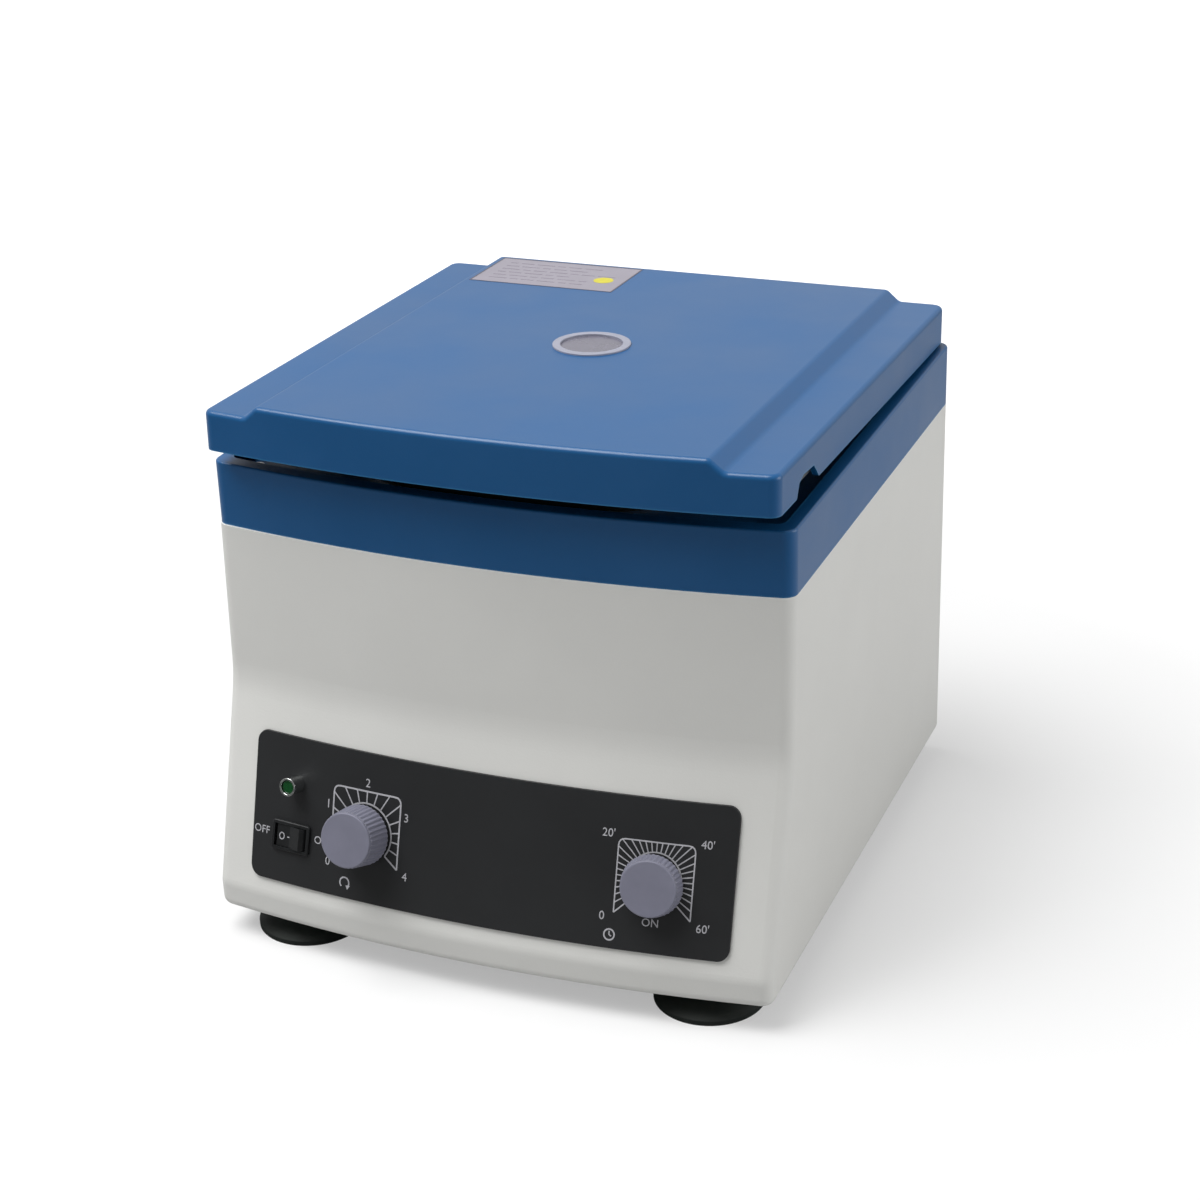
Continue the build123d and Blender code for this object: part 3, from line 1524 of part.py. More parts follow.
pieces = [
    housing,
    base_plate,
    rubber_feet,
    foot_screws,
    foot_nuts,
    base_screws,
    collar,
    collar_screws,
    chamber_bowl,
    chamber_seal,
    lid_shell,
    lid_liner,
    liner_screws,
    window_ring,
    window_pane,
    hinge_leaves_fixed,
    hinge_leaves_lid,
    hinge_pins,
    hinge_screws_fixed,
    hinge_screws_lid,
    motor_can,
    motor_end_bells,
    brush_caps,
    motor_plate,
    motor_dampers,
    damper_bolts,
    damper_nuts,
    shaft_boot,
    rotor,
    tube_sleeves,
    motor_shaft,
    rotor_washer,
    rotor_nut,
    control_panel,
    switch_housing,
    power_rocker,
    lamp_bezel,
    lamp_lens,
    potentiometer,
    timer,
    control_nuts,
    speed_knob,
    time_knob,
    speed_shaft,
    timer_shaft,
    power_inlet,
    fuse_holder,
    fuse_cap,
    fuse,
    board_spacers,
    circuit_board,
    heat_sink,
    capacitor,
]
for piece in pieces:
    export_step(piece.part, f"parts/{piece.part.label}.step")
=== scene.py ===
from math import atan, cos, radians, sin, sqrt

import bmesh
import bpy
from mathutils import Matrix, Vector


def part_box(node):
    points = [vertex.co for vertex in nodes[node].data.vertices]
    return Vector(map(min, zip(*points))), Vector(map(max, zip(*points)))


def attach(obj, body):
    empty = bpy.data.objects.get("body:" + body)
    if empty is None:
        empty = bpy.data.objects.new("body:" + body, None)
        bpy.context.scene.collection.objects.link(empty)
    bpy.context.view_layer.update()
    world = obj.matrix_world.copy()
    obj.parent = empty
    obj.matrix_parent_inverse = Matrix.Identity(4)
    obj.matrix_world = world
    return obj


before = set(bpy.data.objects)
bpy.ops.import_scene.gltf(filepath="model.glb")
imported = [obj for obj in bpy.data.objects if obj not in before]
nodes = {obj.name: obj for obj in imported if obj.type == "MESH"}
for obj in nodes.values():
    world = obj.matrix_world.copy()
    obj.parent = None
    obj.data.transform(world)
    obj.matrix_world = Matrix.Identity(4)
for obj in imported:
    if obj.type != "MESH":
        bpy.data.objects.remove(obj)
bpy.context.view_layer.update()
scene = bpy.context.scene

# Housing: the lower body of the case, one shell of moulded sheet with a bowed front
# that flares out to the control panel. It is sprayed with a warm grey structure paint,
# slightly pebbled, and the lighter grey along its edges is a painted highlight.
paint_grey = (0.715, 0.715, 0.69, 1)
paint_edge_highlight = (0.84, 0.84, 0.82, 1)
paint_spread, paint_drift = 0.025, 9.0
paint_highlight_radius, paint_highlight_gain = 0.0016, 2.0
paint_pebble, paint_depth = 900.0, 0.00006
paint_gloss, paint_matt = 0.42, 0.56


def place(tree, kind, inputs, **settings):
    """Adds one shader node; inputs are values or the sockets that feed it."""
    node = tree.nodes.new("ShaderNode" + kind)
    for name, value in settings.items():
        setattr(node, name, value)
    for key, value in inputs.items():
        if isinstance(value, bpy.types.NodeSocket):
            tree.links.new(value, node.inputs[key])
        else:
            node.inputs[key].default_value = value
    return node


def effect(name, inputs, outputs):
    """Starts a shader node group with named inputs and outputs."""
    tree = bpy.data.node_groups.new(name, "ShaderNodeTree")
    for label, kind, value in inputs:
        socket = tree.interface.new_socket(name=label, in_out="INPUT", socket_type="NodeSocket" + kind)
        socket.default_value = value
    for label, kind in outputs:
        tree.interface.new_socket(name=label, in_out="OUTPUT", socket_type="NodeSocket" + kind)
    return tree, tree.nodes.new("NodeGroupInput").outputs, tree.nodes.new("NodeGroupOutput").inputs


def finish(name, **constants):
    """A new material, with the Principled shader's own values set."""
    material = bpy.data.materials.new(name)
    material.use_nodes = True
    shader = material.node_tree.nodes["Principled BSDF"]
    for key, value in constants.items():
        shader.inputs[key.replace("_", " ")].default_value = value
    return material, material.node_tree, shader.inputs


def blend(tree, mask, first, second):
    """Mixes two colours by a mask and gives back the result's socket."""
    return place(tree, "Mix", {0: mask, 6: first, 7: second}, data_type="RGBA").outputs[2]


def ramp(tree, value, start, end, low=0.0, high=1.0):
    """Maps a value that runs from low to high onto start to end."""
    limits = {"From Min": low, "From Max": high, "To Min": start, "To Max": end}
    return place(tree, "MapRange", {"Value": value, **limits}).outputs[0]


def join(tree, inputs, **outputs):
    """Feeds the named inputs of a shader, or of a group's end."""
    for key, value in outputs.items():
        tree.links.new(value, inputs[key.replace("_", " ")])


def bump(tree, height, depth):
    """Raises a surface by a value, as far as a depth in metres, and gives back its normal."""
    return place(tree, "Bump", {"Height": height, "Distance": depth, "Strength": 1.0}).outputs["Normal"]


def use(tree, group, **inputs):
    """Places an effect in a material and gives back its outputs."""
    node = tree.nodes.new("ShaderNodeGroup")
    node.node_tree = group
    for key, value in inputs.items():
        socket = node.inputs[key.replace("_", " ")]
        if isinstance(value, bpy.types.NodeSocket):
            tree.links.new(value, socket)
        else:
            socket.default_value = value
    return node.outputs


def dress(material, *names):
    """Gives CAD nodes a material."""
    for name in names:
        mesh = nodes[name].data
        mesh.materials.clear()
        mesh.materials.append(material)


# Noise seldom leaves this range, so masks are stretched from it.
noise_low, noise_high = 0.3, 0.7

# Pebble: the fine raised grain of sprayed paint, moulded plastic or rubber.
pebble, given, put = effect(
    "pebble",
    [("Scale", "Float", 900.0), ("Depth", "Float", 0.0001)],
    [("Normal", "Vector"), ("Mask", "Float")],
)
where = place(pebble, "TexCoord", {}).outputs["Object"]
lumps = {"Vector": where, "Scale": given["Scale"], "Detail": 3.0, "Roughness": 0.6}
coarse = place(pebble, "TexNoise", lumps).outputs["Fac"]
join(pebble, put, Normal=bump(pebble, coarse, given["Depth"]), Mask=coarse)

# Tone drift: a colour that grows slightly lighter and darker over the piece.
drift, given, put = effect(
    "tone_drift",
    [("Colour", "Color", (0.5, 0.5, 0.5, 1)), ("Spread", "Float", 0.06), ("Scale", "Float", 14.0)],
    [("Colour", "Color"), ("Mask", "Float")],
)
where = place(drift, "TexCoord", {}).outputs["Object"]
clouds = {"Vector": where, "Scale": given["Scale"], "Detail": 4.0, "Roughness": 0.55}
cloud = place(drift, "TexNoise", clouds).outputs["Fac"]
less = place(drift, "Math", {0: 1.0, 1: given["Spread"]}, operation="SUBTRACT")
more = place(drift, "Math", {0: 1.0, 1: given["Spread"]}, operation="ADD")
level = ramp(drift, cloud, less.outputs[0], more.outputs[0], noise_low, noise_high)
toned = place(drift, "VectorMath", {0: given["Colour"], "Scale": level}, operation="SCALE")
join(drift, put, Colour=toned.outputs[0], Mask=cloud)

# Edge line: a mask along sharp edges, where a finish wears or runs thin, and also where a highlight is
# painted along them.
edge_line, given, put = effect(
    "edge_line",
    [("Radius", "Float", 0.001), ("Gain", "Float", 3.0)],
    [("Mask", "Float")],
)
facing = place(edge_line, "NewGeometry", {}).outputs["Normal"]
softened = place(edge_line, "Bevel", {"Radius": given["Radius"]}, samples=6).outputs["Normal"]
likeness = place(edge_line, "VectorMath", {0: facing, 1: softened}, operation="DOT_PRODUCT")
bend = place(edge_line, "Math", {0: 1.0, 1: likeness.outputs["Value"]}, operation="SUBTRACT").outputs[0]
mask = place(edge_line, "Math", {0: bend, 1: given["Gain"]}, operation="MULTIPLY", use_clamp=True)
join(edge_line, put, Mask=mask.outputs[0])

housing_paint, tree, shader = finish("housing_paint", Roughness=0.5, IOR=1.45, Specular_IOR_Level=0.35)
tone = use(tree, drift, Colour=paint_grey, Spread=paint_spread, Scale=paint_drift)
# Painted highlight: the edges are lightened towards a pale grey, where light catches them.
line = use(tree, edge_line, Radius=paint_highlight_radius, Gain=paint_highlight_gain)
colour = blend(tree, line["Mask"], tone["Colour"], paint_edge_highlight)
grain = use(tree, pebble, Scale=paint_pebble, Depth=paint_depth)
gloss = ramp(tree, grain["Mask"], paint_gloss, paint_matt, noise_low, noise_high)
join(tree, shader, Base_Color=colour, Roughness=gloss, Normal=grain["Normal"])
dress(housing_paint, "housing")

# Base plate: a flat zinc-plated steel floor with cooling slots, held under the
# housing's lower flange by six pan-head screws. The zinc has a cloudy grey crystal.
zinc_light = (0.62, 0.63, 0.64, 1)
zinc_dark = (0.42, 0.43, 0.45, 1)
crystal_scale = 190.0
zinc_plate, tree, shader = finish("zinc_plate", Metallic=1.0, Roughness=0.42)
where = place(tree, "TexCoord", {}).outputs["Object"]
flakes = place(tree, "TexVoronoi", {"Vector": where, "Scale": crystal_scale}, feature="F1")
flake_tone = place(tree, "SeparateColor", {0: flakes.outputs["Color"]}).outputs[0]
colour = blend(tree, flake_tone, zinc_dark, zinc_light)
gloss = ramp(tree, flake_tone, start=0.32, end=0.52)
grain = use(tree, pebble, Scale=1500.0, Depth=0.00002)
join(tree, shader, Base_Color=colour, Roughness=gloss, Normal=grain["Normal"])
dress(zinc_plate, "base_plate", "motor_plate")

# Screws, nuts and spacers: small turned and pressed steel pieces all over the case,
# zinc plated, a little brighter where their edges have been rubbed.
screw_grey = (0.60, 0.60, 0.61, 1)
screw_worn = (0.8, 0.8, 0.8, 1)
screw_steel, tree, shader = finish("screw_steel", Metallic=1.0, Roughness=0.3)
tone = use(tree, drift, Colour=screw_grey, Spread=0.12, Scale=400.0)
line = use(tree, edge_line, Radius=0.0003, Gain=2.0)
colour = blend(tree, line["Mask"], tone["Colour"], screw_worn)
gloss = ramp(tree, tone["Mask"], start=0.22, end=0.42)
join(tree, shader, Base_Color=colour, Roughness=gloss)
dress(screw_steel, "base_screws", "foot_screws", "foot_nuts", "collar_screws", "liner_screws",
      "damper_bolts", "damper_nuts", "hinge_screws_fixed", "hinge_screws_lid", "board_spacers",
      "rotor_washer")

# Feet: four wide suction cups moulded in black rubber, each with a screw up
# through its neck. Rubber is dull, faintly pitted and a little dusty on its shoulders.
rubber_black = (0.007, 0.011, 0.009, 1)
dust_grey = (0.25, 0.24, 0.22, 1)
rubber, tree, shader = finish("rubber", Roughness=0.7, Specular_IOR_Level=0.35, IOR=1.52)
tone = use(tree, drift, Colour=rubber_black, Spread=0.25, Scale=60.0)
facing = place(tree, "NewGeometry", {}).outputs["Normal"]
facing_up = place(tree, "SeparateXYZ", {0: facing}).outputs["Z"]
dusty = ramp(tree, facing_up, start=0.0, end=0.02, low=0.2, high=1.0)
colour = blend(tree, dusty, tone["Colour"], dust_grey)
grain = use(tree, pebble, Scale=2200.0, Depth=0.00005)
join(tree, shader, Base_Color=colour, Normal=grain["Normal"])
dress(rubber, "rubber_feet", "motor_dampers", "shaft_boot", "chamber_seal")

# Motor: a drawn steel can in dark enamel between two cast alloy end bells, with two
# brush caps, standing on a plate that floats on rubber dampers so that it can sway.
enamel_black = (0.035, 0.038, 0.042, 1)
motor_enamel, tree, shader = finish("motor_enamel", Roughness=0.35, Coat_Weight=0.3, Coat_Roughness=0.2)
tone = use(tree, drift, Colour=enamel_black, Spread=0.15, Scale=40.0)
grain = use(tree, pebble, Scale=700.0, Depth=0.00008)
join(tree, shader, Base_Color=tone["Colour"], Normal=grain["Normal"])
dress(motor_enamel, "motor_can")

# End bells and heat sink: cast in a light alloy, with the coarse skin of the mould
# and bright edges where they have been machined.
cast_grey = (0.48, 0.48, 0.49, 1)
cast_worn = (0.75, 0.75, 0.76, 1)
cast_alloy, tree, shader = finish("cast_alloy", Metallic=0.9, Roughness=0.5)
tone = use(tree, drift, Colour=cast_grey, Spread=0.12, Scale=90.0)
line = use(tree, edge_line, Radius=0.0006, Gain=2.0)
colour = blend(tree, line["Mask"], tone["Colour"], cast_worn)
grain = use(tree, pebble, Scale=1100.0, Depth=0.00015)
join(tree, shader, Base_Color=colour, Normal=grain["Normal"])
dress(cast_alloy, "motor_end_bells", "heat_sink")

# Black fittings: the brush caps, the mains switch, the power inlet, the fuse holder and
# the bodies of two regulator parts, all moulded in black plastic with a faint sheen.
moulded_black = (0.012, 0.013, 0.014, 1)
black_worn = (0.06, 0.065, 0.07, 1)
black_plastic, tree, shader = finish("black_plastic", Roughness=0.38, IOR=1.5, Specular_IOR_Level=0.4)
tone = use(tree, drift, Colour=moulded_black, Spread=0.2, Scale=80.0)
line = use(tree, edge_line, Radius=0.0004, Gain=1.2)
colour = blend(tree, line["Mask"], tone["Colour"], black_worn)
grain = use(tree, pebble, Scale=2600.0, Depth=0.00002)
join(tree, shader, Base_Color=colour, Normal=grain["Normal"])
dress(black_plastic, "brush_caps", "switch_housing", "power_rocker", "power_inlet", "fuse_holder",
      "fuse_cap", "potentiometer", "capacitor")

# Chamber bowl: a deep bowl spun from stainless sheet, hung in the deck by its
# flange. The spinning tool leaves fine rings round its axis.
rotor_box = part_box("rotor")
rotor_x = (rotor_box[0].x + rotor_box[1].x) / 2
rotor_y = (rotor_box[0].y + rotor_box[1].y) / 2
spin_marks, given, put = effect(
    "spin_marks",
    [("Pitch", "Float", 900.0), ("Depth", "Float", 0.00002)],
    [("Normal", "Vector"), ("Mask", "Float")],
)
where = place(spin_marks, "TexCoord", {}).outputs["Object"]
from_axis = place(spin_marks, "VectorMath", {0: where, 1: (rotor_x, rotor_y, 0)}, operation="SUBTRACT")
parts = place(spin_marks, "SeparateXYZ", {0: from_axis.outputs[0]}).outputs
flat = place(spin_marks, "CombineXYZ", {0: parts[0], 1: parts[1]}).outputs[0]
radius = place(spin_marks, "VectorMath", {0: flat}, operation="LENGTH").outputs["Value"]
along = place(spin_marks, "Math", {0: radius, 1: parts[2]}, operation="ADD").outputs[0]
ringed = place(spin_marks, "Math", {0: along, 1: given["Pitch"]}, operation="MULTIPLY").outputs[0]
grooves = {"W": ringed, "Scale": 1.0, "Detail": 3.0}
rings = place(spin_marks, "TexNoise", grooves, noise_dimensions="1D").outputs["Fac"]
join(spin_marks, put, Normal=bump(spin_marks, rings, given["Depth"]), Mask=rings)

bowl_dark = (0.56, 0.57, 0.58, 1)
bowl_light = (0.70, 0.70, 0.71, 1)
bowl_steel, tree, shader = finish("bowl_steel", Metallic=1.0, Roughness=0.25)
spun = use(tree, spin_marks, Pitch=1400.0, Depth=0.00003)
colour = blend(tree, spun["Mask"], bowl_dark, bowl_light)
gloss = ramp(tree, spun["Mask"], start=0.2, end=0.38)
join(tree, shader, Base_Color=colour, Roughness=gloss, Normal=spun["Normal"])
dress(bowl_steel, "chamber_bowl")

# Rotor: cast in aluminium, then turned and clear anodised, with six slanted
# sleeves of thin steel pressed into it and a domed nut on the motor's shaft.
rotor_dark = (0.58, 0.59, 0.61, 1)
rotor_light = (0.70, 0.71, 0.72, 1)
rotor_alloy, tree, shader = finish("rotor_alloy", Metallic=1.0, Roughness=0.36)
turned = use(tree, spin_marks, Pitch=700.0, Depth=0.00004)
colour = blend(tree, turned["Mask"], rotor_dark, rotor_light)
gloss = ramp(tree, turned["Mask"], start=0.40, end=0.58)
join(tree, shader, Base_Color=colour, Roughness=gloss, Normal=turned["Normal"])
dress(rotor_alloy, "rotor")

# Sleeves, shafts and hinges: drawn and ground steel, left bright. The hinges' leaves
# and pins, the nuts on the shafts and the fuse's caps have the same plain finish.
steel_grey = (0.66, 0.66, 0.67, 1)
bright_steel, tree, shader = finish("bright_steel", Metallic=1.0, Roughness=0.2)
tone = use(tree, drift, Colour=steel_grey, Spread=0.06, Scale=70.0)
gloss = ramp(tree, tone["Mask"], start=0.14, end=0.32)
grain = use(tree, pebble, Scale=3000.0, Depth=0.00001)
join(tree, shader, Base_Color=tone["Colour"], Roughness=gloss, Normal=grain["Normal"])
dress(bright_steel, "tube_sleeves", "motor_shaft", "rotor_nut", "speed_shaft", "timer_shaft",
      "hinge_pins", "hinge_leaves_fixed", "hinge_leaves_lid", "control_nuts", "fuse")

# Speed regulator: a green glass-fibre board on spacers on the floor, with its
# heat sink and a large capacitor. The glass weave shows through its green lacquer.
weave_dark = (0.010, 0.13, 0.05, 1)
weave_light = (0.014, 0.16, 0.06, 1)
weave_gap = (0.03, 0.24, 0.10, 1)
weave_scale, weave_gap_width = 260.0, 0.12
board_green, tree, shader = finish("board_green", Roughness=0.3, Coat_Weight=0.4, Coat_Roughness=0.15)
where = place(tree, "TexCoord", {}).outputs["Object"]
threads = {"Vector": where, "Scale": weave_scale, "Mortar Size": weave_gap_width,
           "Color1": weave_dark, "Color2": weave_light, "Mortar": weave_gap}
weave = place(tree, "TexBrick", threads)
join(tree, shader, Base_Color=weave.outputs["Color"])
dress(board_green, "circuit_board")

# Timer: a clockwork timer behind the panel, in a case of cream moulded plastic with
# a fine dull grain.
case_cream = (0.55, 0.53, 0.47, 1)
timer_case, tree, shader = finish("timer_case", Roughness=0.4)
tone = use(tree, drift, Colour=case_cream, Spread=0.06, Scale=60.0)
grain = use(tree, pebble, Scale=1800.0, Depth=0.00003)
join(tree, shader, Base_Color=tone["Colour"], Normal=grain["Normal"])
dress(timer_case, "timer")

# Control panel: a thin black anodised plate, bent to the bow of the housing's sloped
# front and stuck on it. The anodised skin has a fine, slightly uneven sheen.
anodised_black = (0.0175, 0.0185, 0.0200, 1)
anodised_worn = (0.10, 0.10, 0.10, 1)
panel_black, tree, shader = finish("panel_black", Roughness=0.42, IOR=1.5, Specular_IOR_Level=0.5)
tone = use(tree, drift, Colour=anodised_black, Spread=0.12, Scale=16.0)
line = use(tree, edge_line, Radius=0.0006, Gain=0.6)
colour = blend(tree, line["Mask"], tone["Colour"], anodised_worn)
grain = use(tree, pebble, Scale=3200.0, Depth=0.00002)
gloss = ramp(tree, grain["Mask"], start=0.36, end=0.5, low=noise_low, high=noise_high)
join(tree, shader, Base_Color=colour, Roughness=gloss, Normal=grain["Normal"])
dress(panel_black, "control_panel")

# Panel print: one thin film of pale grey ink on the bent plate, with a scale round
# each knob, their numbers, and ON and OFF beside the switch and the timer.
ink_grey = (0.47, 0.47, 0.50, 1)


def toned_finish(name, colour, spread, scale, **constants):
    """A new material whose colour only grows slightly lighter and darker."""
    material, tree, shader = finish(name, **constants)
    join(tree, shader, Base_Color=use(tree, drift, Colour=colour, Spread=spread, Scale=scale)["Colour"])
    return material


ink_white = toned_finish("ink_white", ink_grey, spread=0.10, scale=900.0, Roughness=0.5)

case_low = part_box("housing")[0].z
collar_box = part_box("collar")
half_width = (collar_box[1].x - collar_box[0].x) / 2
front_bow = 0.0126
bow_radius = (half_width**2 + front_bow**2) / (2 * front_bow)
bow_center = collar_box[0].y + bow_radius
flare = 0.034
skirt_height = 0.015
slope_reach, slope_height = 0.0306, 0.104
slope_fall = slope_reach / slope_height
panel_thickness = 0.0012
film = 0.00008
film_base = 0.00001


def on_panel(x, height, lift=0.0):
    """Place on the printed face, from how far across and how high above the housing's foot."""
    out = (panel_thickness + lift) * sqrt(1 + slope_fall**2)
    reach = bow_radius + flare - (height - skirt_height) * slope_fall + out
    return Vector((x, bow_center - sqrt(reach**2 - x**2), case_low + height))


def film_piece(name, sheets, surface, material, body):
    """Lays flat outlines on a surface as one thin closed film; each sheet is (points, faces)."""
    mesh = bpy.data.meshes.new(name)
    made = bmesh.new()
    for points, faces in sheets:
        low = [made.verts.new(surface(x, y, film_base)) for x, y in points]
        high = [made.verts.new(surface(x, y, film)) for x, y in points]
        rim = {}
        for face in faces:
            made.faces.new([high[i] for i in face])
            made.faces.new([low[i] for i in reversed(face)])
            for a, b in zip(face, face[1:] + face[:1]):
                if (b, a) in rim:
                    del rim[(b, a)]
                else:
                    rim[(a, b)] = True
        for a, b in rim:
            made.faces.new([high[b], high[a], low[a], low[b]])
    bmesh.ops.recalc_face_normals(made, faces=made.faces)
    made.to_mesh(mesh)
    made.free()
    mesh.materials.append(material)
    piece = bpy.data.objects.new(name, mesh)
    scene.collection.objects.link(piece)
    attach(piece, body)


mitre_limit = 0.35
bow_step = 0.004


def stroke(path, width, closed=False, step=bow_step):
    """Outline of a line of even width with mitred corners, cut short enough to follow the bow."""
    points = [Vector(p) for p in path]
    if closed:
        points.append(points[0])
    run = [points[0]]
    for a, b in zip(points, points[1:]):
        count = max(1, int((b - a).length / step))
        run += [a.lerp(b, (i + 1) / count) for i in range(count)]
    if closed:
        run.pop()
    count = len(run)
    sides = []
    for i, here in enumerate(run):
        before = run[(i - 1) % count] if closed or i > 0 else here
        after = run[(i + 1) % count] if closed or i < count - 1 else here
        into = (here - before).normalized() if here != before else (after - here).normalized()
        onto = (after - here).normalized() if here != after else into
        mean = (into + onto).normalized()
        reach = width / 2 / max(mitre_limit, mean.dot(into))
        sides.append(Vector((-mean.y, mean.x)) * reach)
    outline = [tuple(p + s) for p, s in zip(run, sides)] + [tuple(p - s) for p, s in zip(run, sides)]
    pairs = [(i, (i + 1) % count) for i in range(count if closed else count - 1)]
    return outline, [[a, b, b + count, a + count] for a, b in pairs]


def circle_points(centre, radius, start, stop, step):
    """Points along an arc, from one angle in degrees up to another."""
    return [(centre[0] + radius * cos(radians(a)), centre[1] + radius * sin(radians(a)))
            for a in range(start, stop, step)]


def letters(text, centre, height):
    """Outline of plain printed characters round a centre."""
    curve = bpy.data.curves.new(text, "FONT")
    curve.body = text
    curve.align_x = "CENTER"
    curve.align_y = "CENTER"
    curve.resolution_u = 3
    shaped = bpy.data.objects.new(text, curve)
    scene.collection.objects.link(shaped)
    bpy.context.view_layer.update()
    mesh = bpy.data.meshes.new_from_object(shaped)
    bpy.data.objects.remove(shaped)
    tall = max(v.co.y for v in mesh.vertices) - min(v.co.y for v in mesh.vertices)
    size = height / tall
    outline = [(centre[0] + v.co.x * size, centre[1] + v.co.y * size) for v in mesh.vertices]
    faces = [list(p.vertices) for p in mesh.polygons]
    bpy.data.meshes.remove(mesh)
    return outline, faces


corner_cut = 0.0035
corner_steps = 4
inner_ray = 0.8
ring_steps = 48
straight = 1e-6


def square_scale(centre, left, right, low, high, start, stop, count, inner, width):
    """Scale round a knob: rays from a ring out to a square frame that is open below."""
    def ring_point(angle):
        return (centre[0] + inner * cos(angle), centre[1] + inner * sin(angle))

    def ray_end(angle):
        across, up = cos(angle), sin(angle)
        reach = [abs((right if across > 0 else left) / across)] if abs(across) > straight else []
        reach += [abs((high if up > 0 else low) / up)] if abs(up) > straight else []
        far = min(reach)
        return (centre[0] + far * across, centre[1] + far * up)

    angles = [start + (stop - start) * i / count for i in range(count + 1)]
    ends = [ray_end(angle) for angle in angles]
    corners = [(centre[0] - left, centre[1] + high), (centre[0] + right, centre[1] + high)]
    path = [ends[0], *corners, ends[-1]]
    rounded = [ends[0]]
    for before, corner, after in zip(path, corners, path[2:]):
        b, c, a = Vector(before), Vector(corner), Vector(after)
        p, q = c + (b - c).normalized() * corner_cut, c + (a - c).normalized() * corner_cut
        for i in range(corner_steps + 1):
            t = i / corner_steps
            rounded.append(tuple(p * (1 - t) ** 2 + c * 2 * t * (1 - t) + q * t**2))
    rounded.append(ends[-1])
    sheets = [stroke(rounded, width)]
    for i, angle in enumerate(angles):
        ray_width = width if i in (0, count) else width * inner_ray
        sheets.append(stroke([ring_point(angle), ends[i]], ray_width))
    ring_angles = [start + (stop - start) * i / ring_steps for i in range(ring_steps + 1)]
    sheets.append(stroke([ring_point(angle) for angle in ring_angles], width))
    return sheets


speed_centre = (-0.0628, 0.0575)
time_centre = (0.0901, 0.0585)
print_sheets = square_scale(
    speed_centre, left=0.0190, right=0.0192, low=0.0145, high=0.0206,
    start=radians(217.4), stop=radians(-37.4), count=16, inner=0.0148, width=0.0008)
print_sheets += square_scale(
    time_centre, left=0.0189, right=0.0189, low=0.0174, high=0.0179,
    start=radians(222.6), stop=radians(-42.6), count=30, inner=0.0132, width=0.00065)
figure_height = 0.0041
speed_figures = [("0", (-0.0834, 0.0398)), ("1", (-0.0847, 0.0680)), ("2", (-0.0627, 0.0820)),
                 ("3", (-0.0402, 0.0688)), ("4", (-0.0392, 0.0403))]
time_figures = [("0", (0.0655, 0.0388)), ("20'", (0.0660, 0.0782)), ("40'", (0.1147, 0.0775)),
                ("60'", (0.1153, 0.0380))]
print_sheets += [letters(text, spot, figure_height) for text, spot in speed_figures + time_figures]
word_height = 0.0038
words = [("OFF", (-0.1235, 0.0475)), ("ON", (-0.0877, 0.0487)), ("ON", (0.0897, 0.0381))]
print_sheets += [letters(text, spot, word_height) for text, spot in words]

# Printed signs: under the dials stand two small plain signs in the same ink, a turning
# arrow for the speed and a clock face for the time.
sign_radius = 0.0026
sign_line = 0.0007
hand_line = 0.0006
arrow_centre = (-0.0729, 0.0313)
arc = circle_points(arrow_centre, sign_radius, -40, 245, 15)
print_sheets.append(stroke(arc, sign_line))
head_corners = ((-0.0012, 0.0004), (0.0014, 0.0006), (-0.0002, -0.0016))
arrow_head = [(arc[0][0] + x, arc[0][1] + y) for x, y in head_corners]
print_sheets.append((arrow_head, [[0, 1, 2]]))
clock_centre = (0.0699, 0.0303)
print_sheets.append(stroke(circle_points(clock_centre, sign_radius, 0, 360, 15), sign_line, closed=True))
long_hand = (clock_centre[0], clock_centre[1] + 0.0017)
short_hand = (clock_centre[0] + 0.0011, clock_centre[1] - 0.0007)
print_sheets.append(stroke([long_hand, clock_centre, short_hand], hand_line))
film_piece("panel_print", print_sheets, on_panel, ink_white, "case")

# Power switch: a black rocker in a snap-in frame. Its off half carries a ring and
# its on half a bar, moulded in and filled with white.
switch_x = -0.1052
switch_height = 0.047
slope = atan(slope_fall)
switch_turn = switch_x / (bow_radius + flare)
switch_out = Vector((sin(switch_turn) * cos(slope), -cos(switch_turn) * cos(slope), sin(slope)))
switch_right = Vector((cos(switch_turn), sin(switch_turn), 0))
switch_up = switch_out.cross(switch_right)
rocker_proud = 0.00115
rocker_lean = 0.013


def on_rocker(x, y, lift=0.0):
    """Place on the pressed half of the rocker, measured from the middle of the switch."""
    out = rocker_proud + rocker_lean * x + lift
    return on_panel(switch_x, switch_height) + switch_right * x + switch_up * y + switch_out * out


mark_line = 0.0005
off_x, off_half_width, off_half_height = -0.0054, 0.0014, 0.0017
on_start, on_end = -0.0022, -0.0008
off_ring = [(off_x + off_half_width * cos(radians(a)), off_half_height * sin(radians(a)))
            for a in range(0, 360, 20)]
on_bar = [(on_start, 0), (on_end, 0)]
rocker_marks = [stroke(off_ring, mark_line, closed=True), stroke(on_bar, mark_line)]
film_piece("rocker_marks", rocker_marks, on_rocker, ink_white, "rocker")

# Pilot lamp: a chromed bezel that stands off the panel, with a dark green
# moulded lens that lets light through.
chrome_grey = (0.70, 0.72, 0.71, 1)
chrome = toned_finish("chrome", chrome_grey, spread=0.05, scale=300.0, Metallic=1.0, Roughness=0.14)
dress(chrome, "lamp_bezel")
lens_green = (0.006, 0.085, 0.020, 1)
green_lens = toned_finish("green_lens", lens_green, spread=0.2, scale=500.0, Roughness=0.15, IOR=1.5,
                          Transmission_Weight=0.35, Coat_Weight=0.4)
dress(green_lens, "lamp_lens")

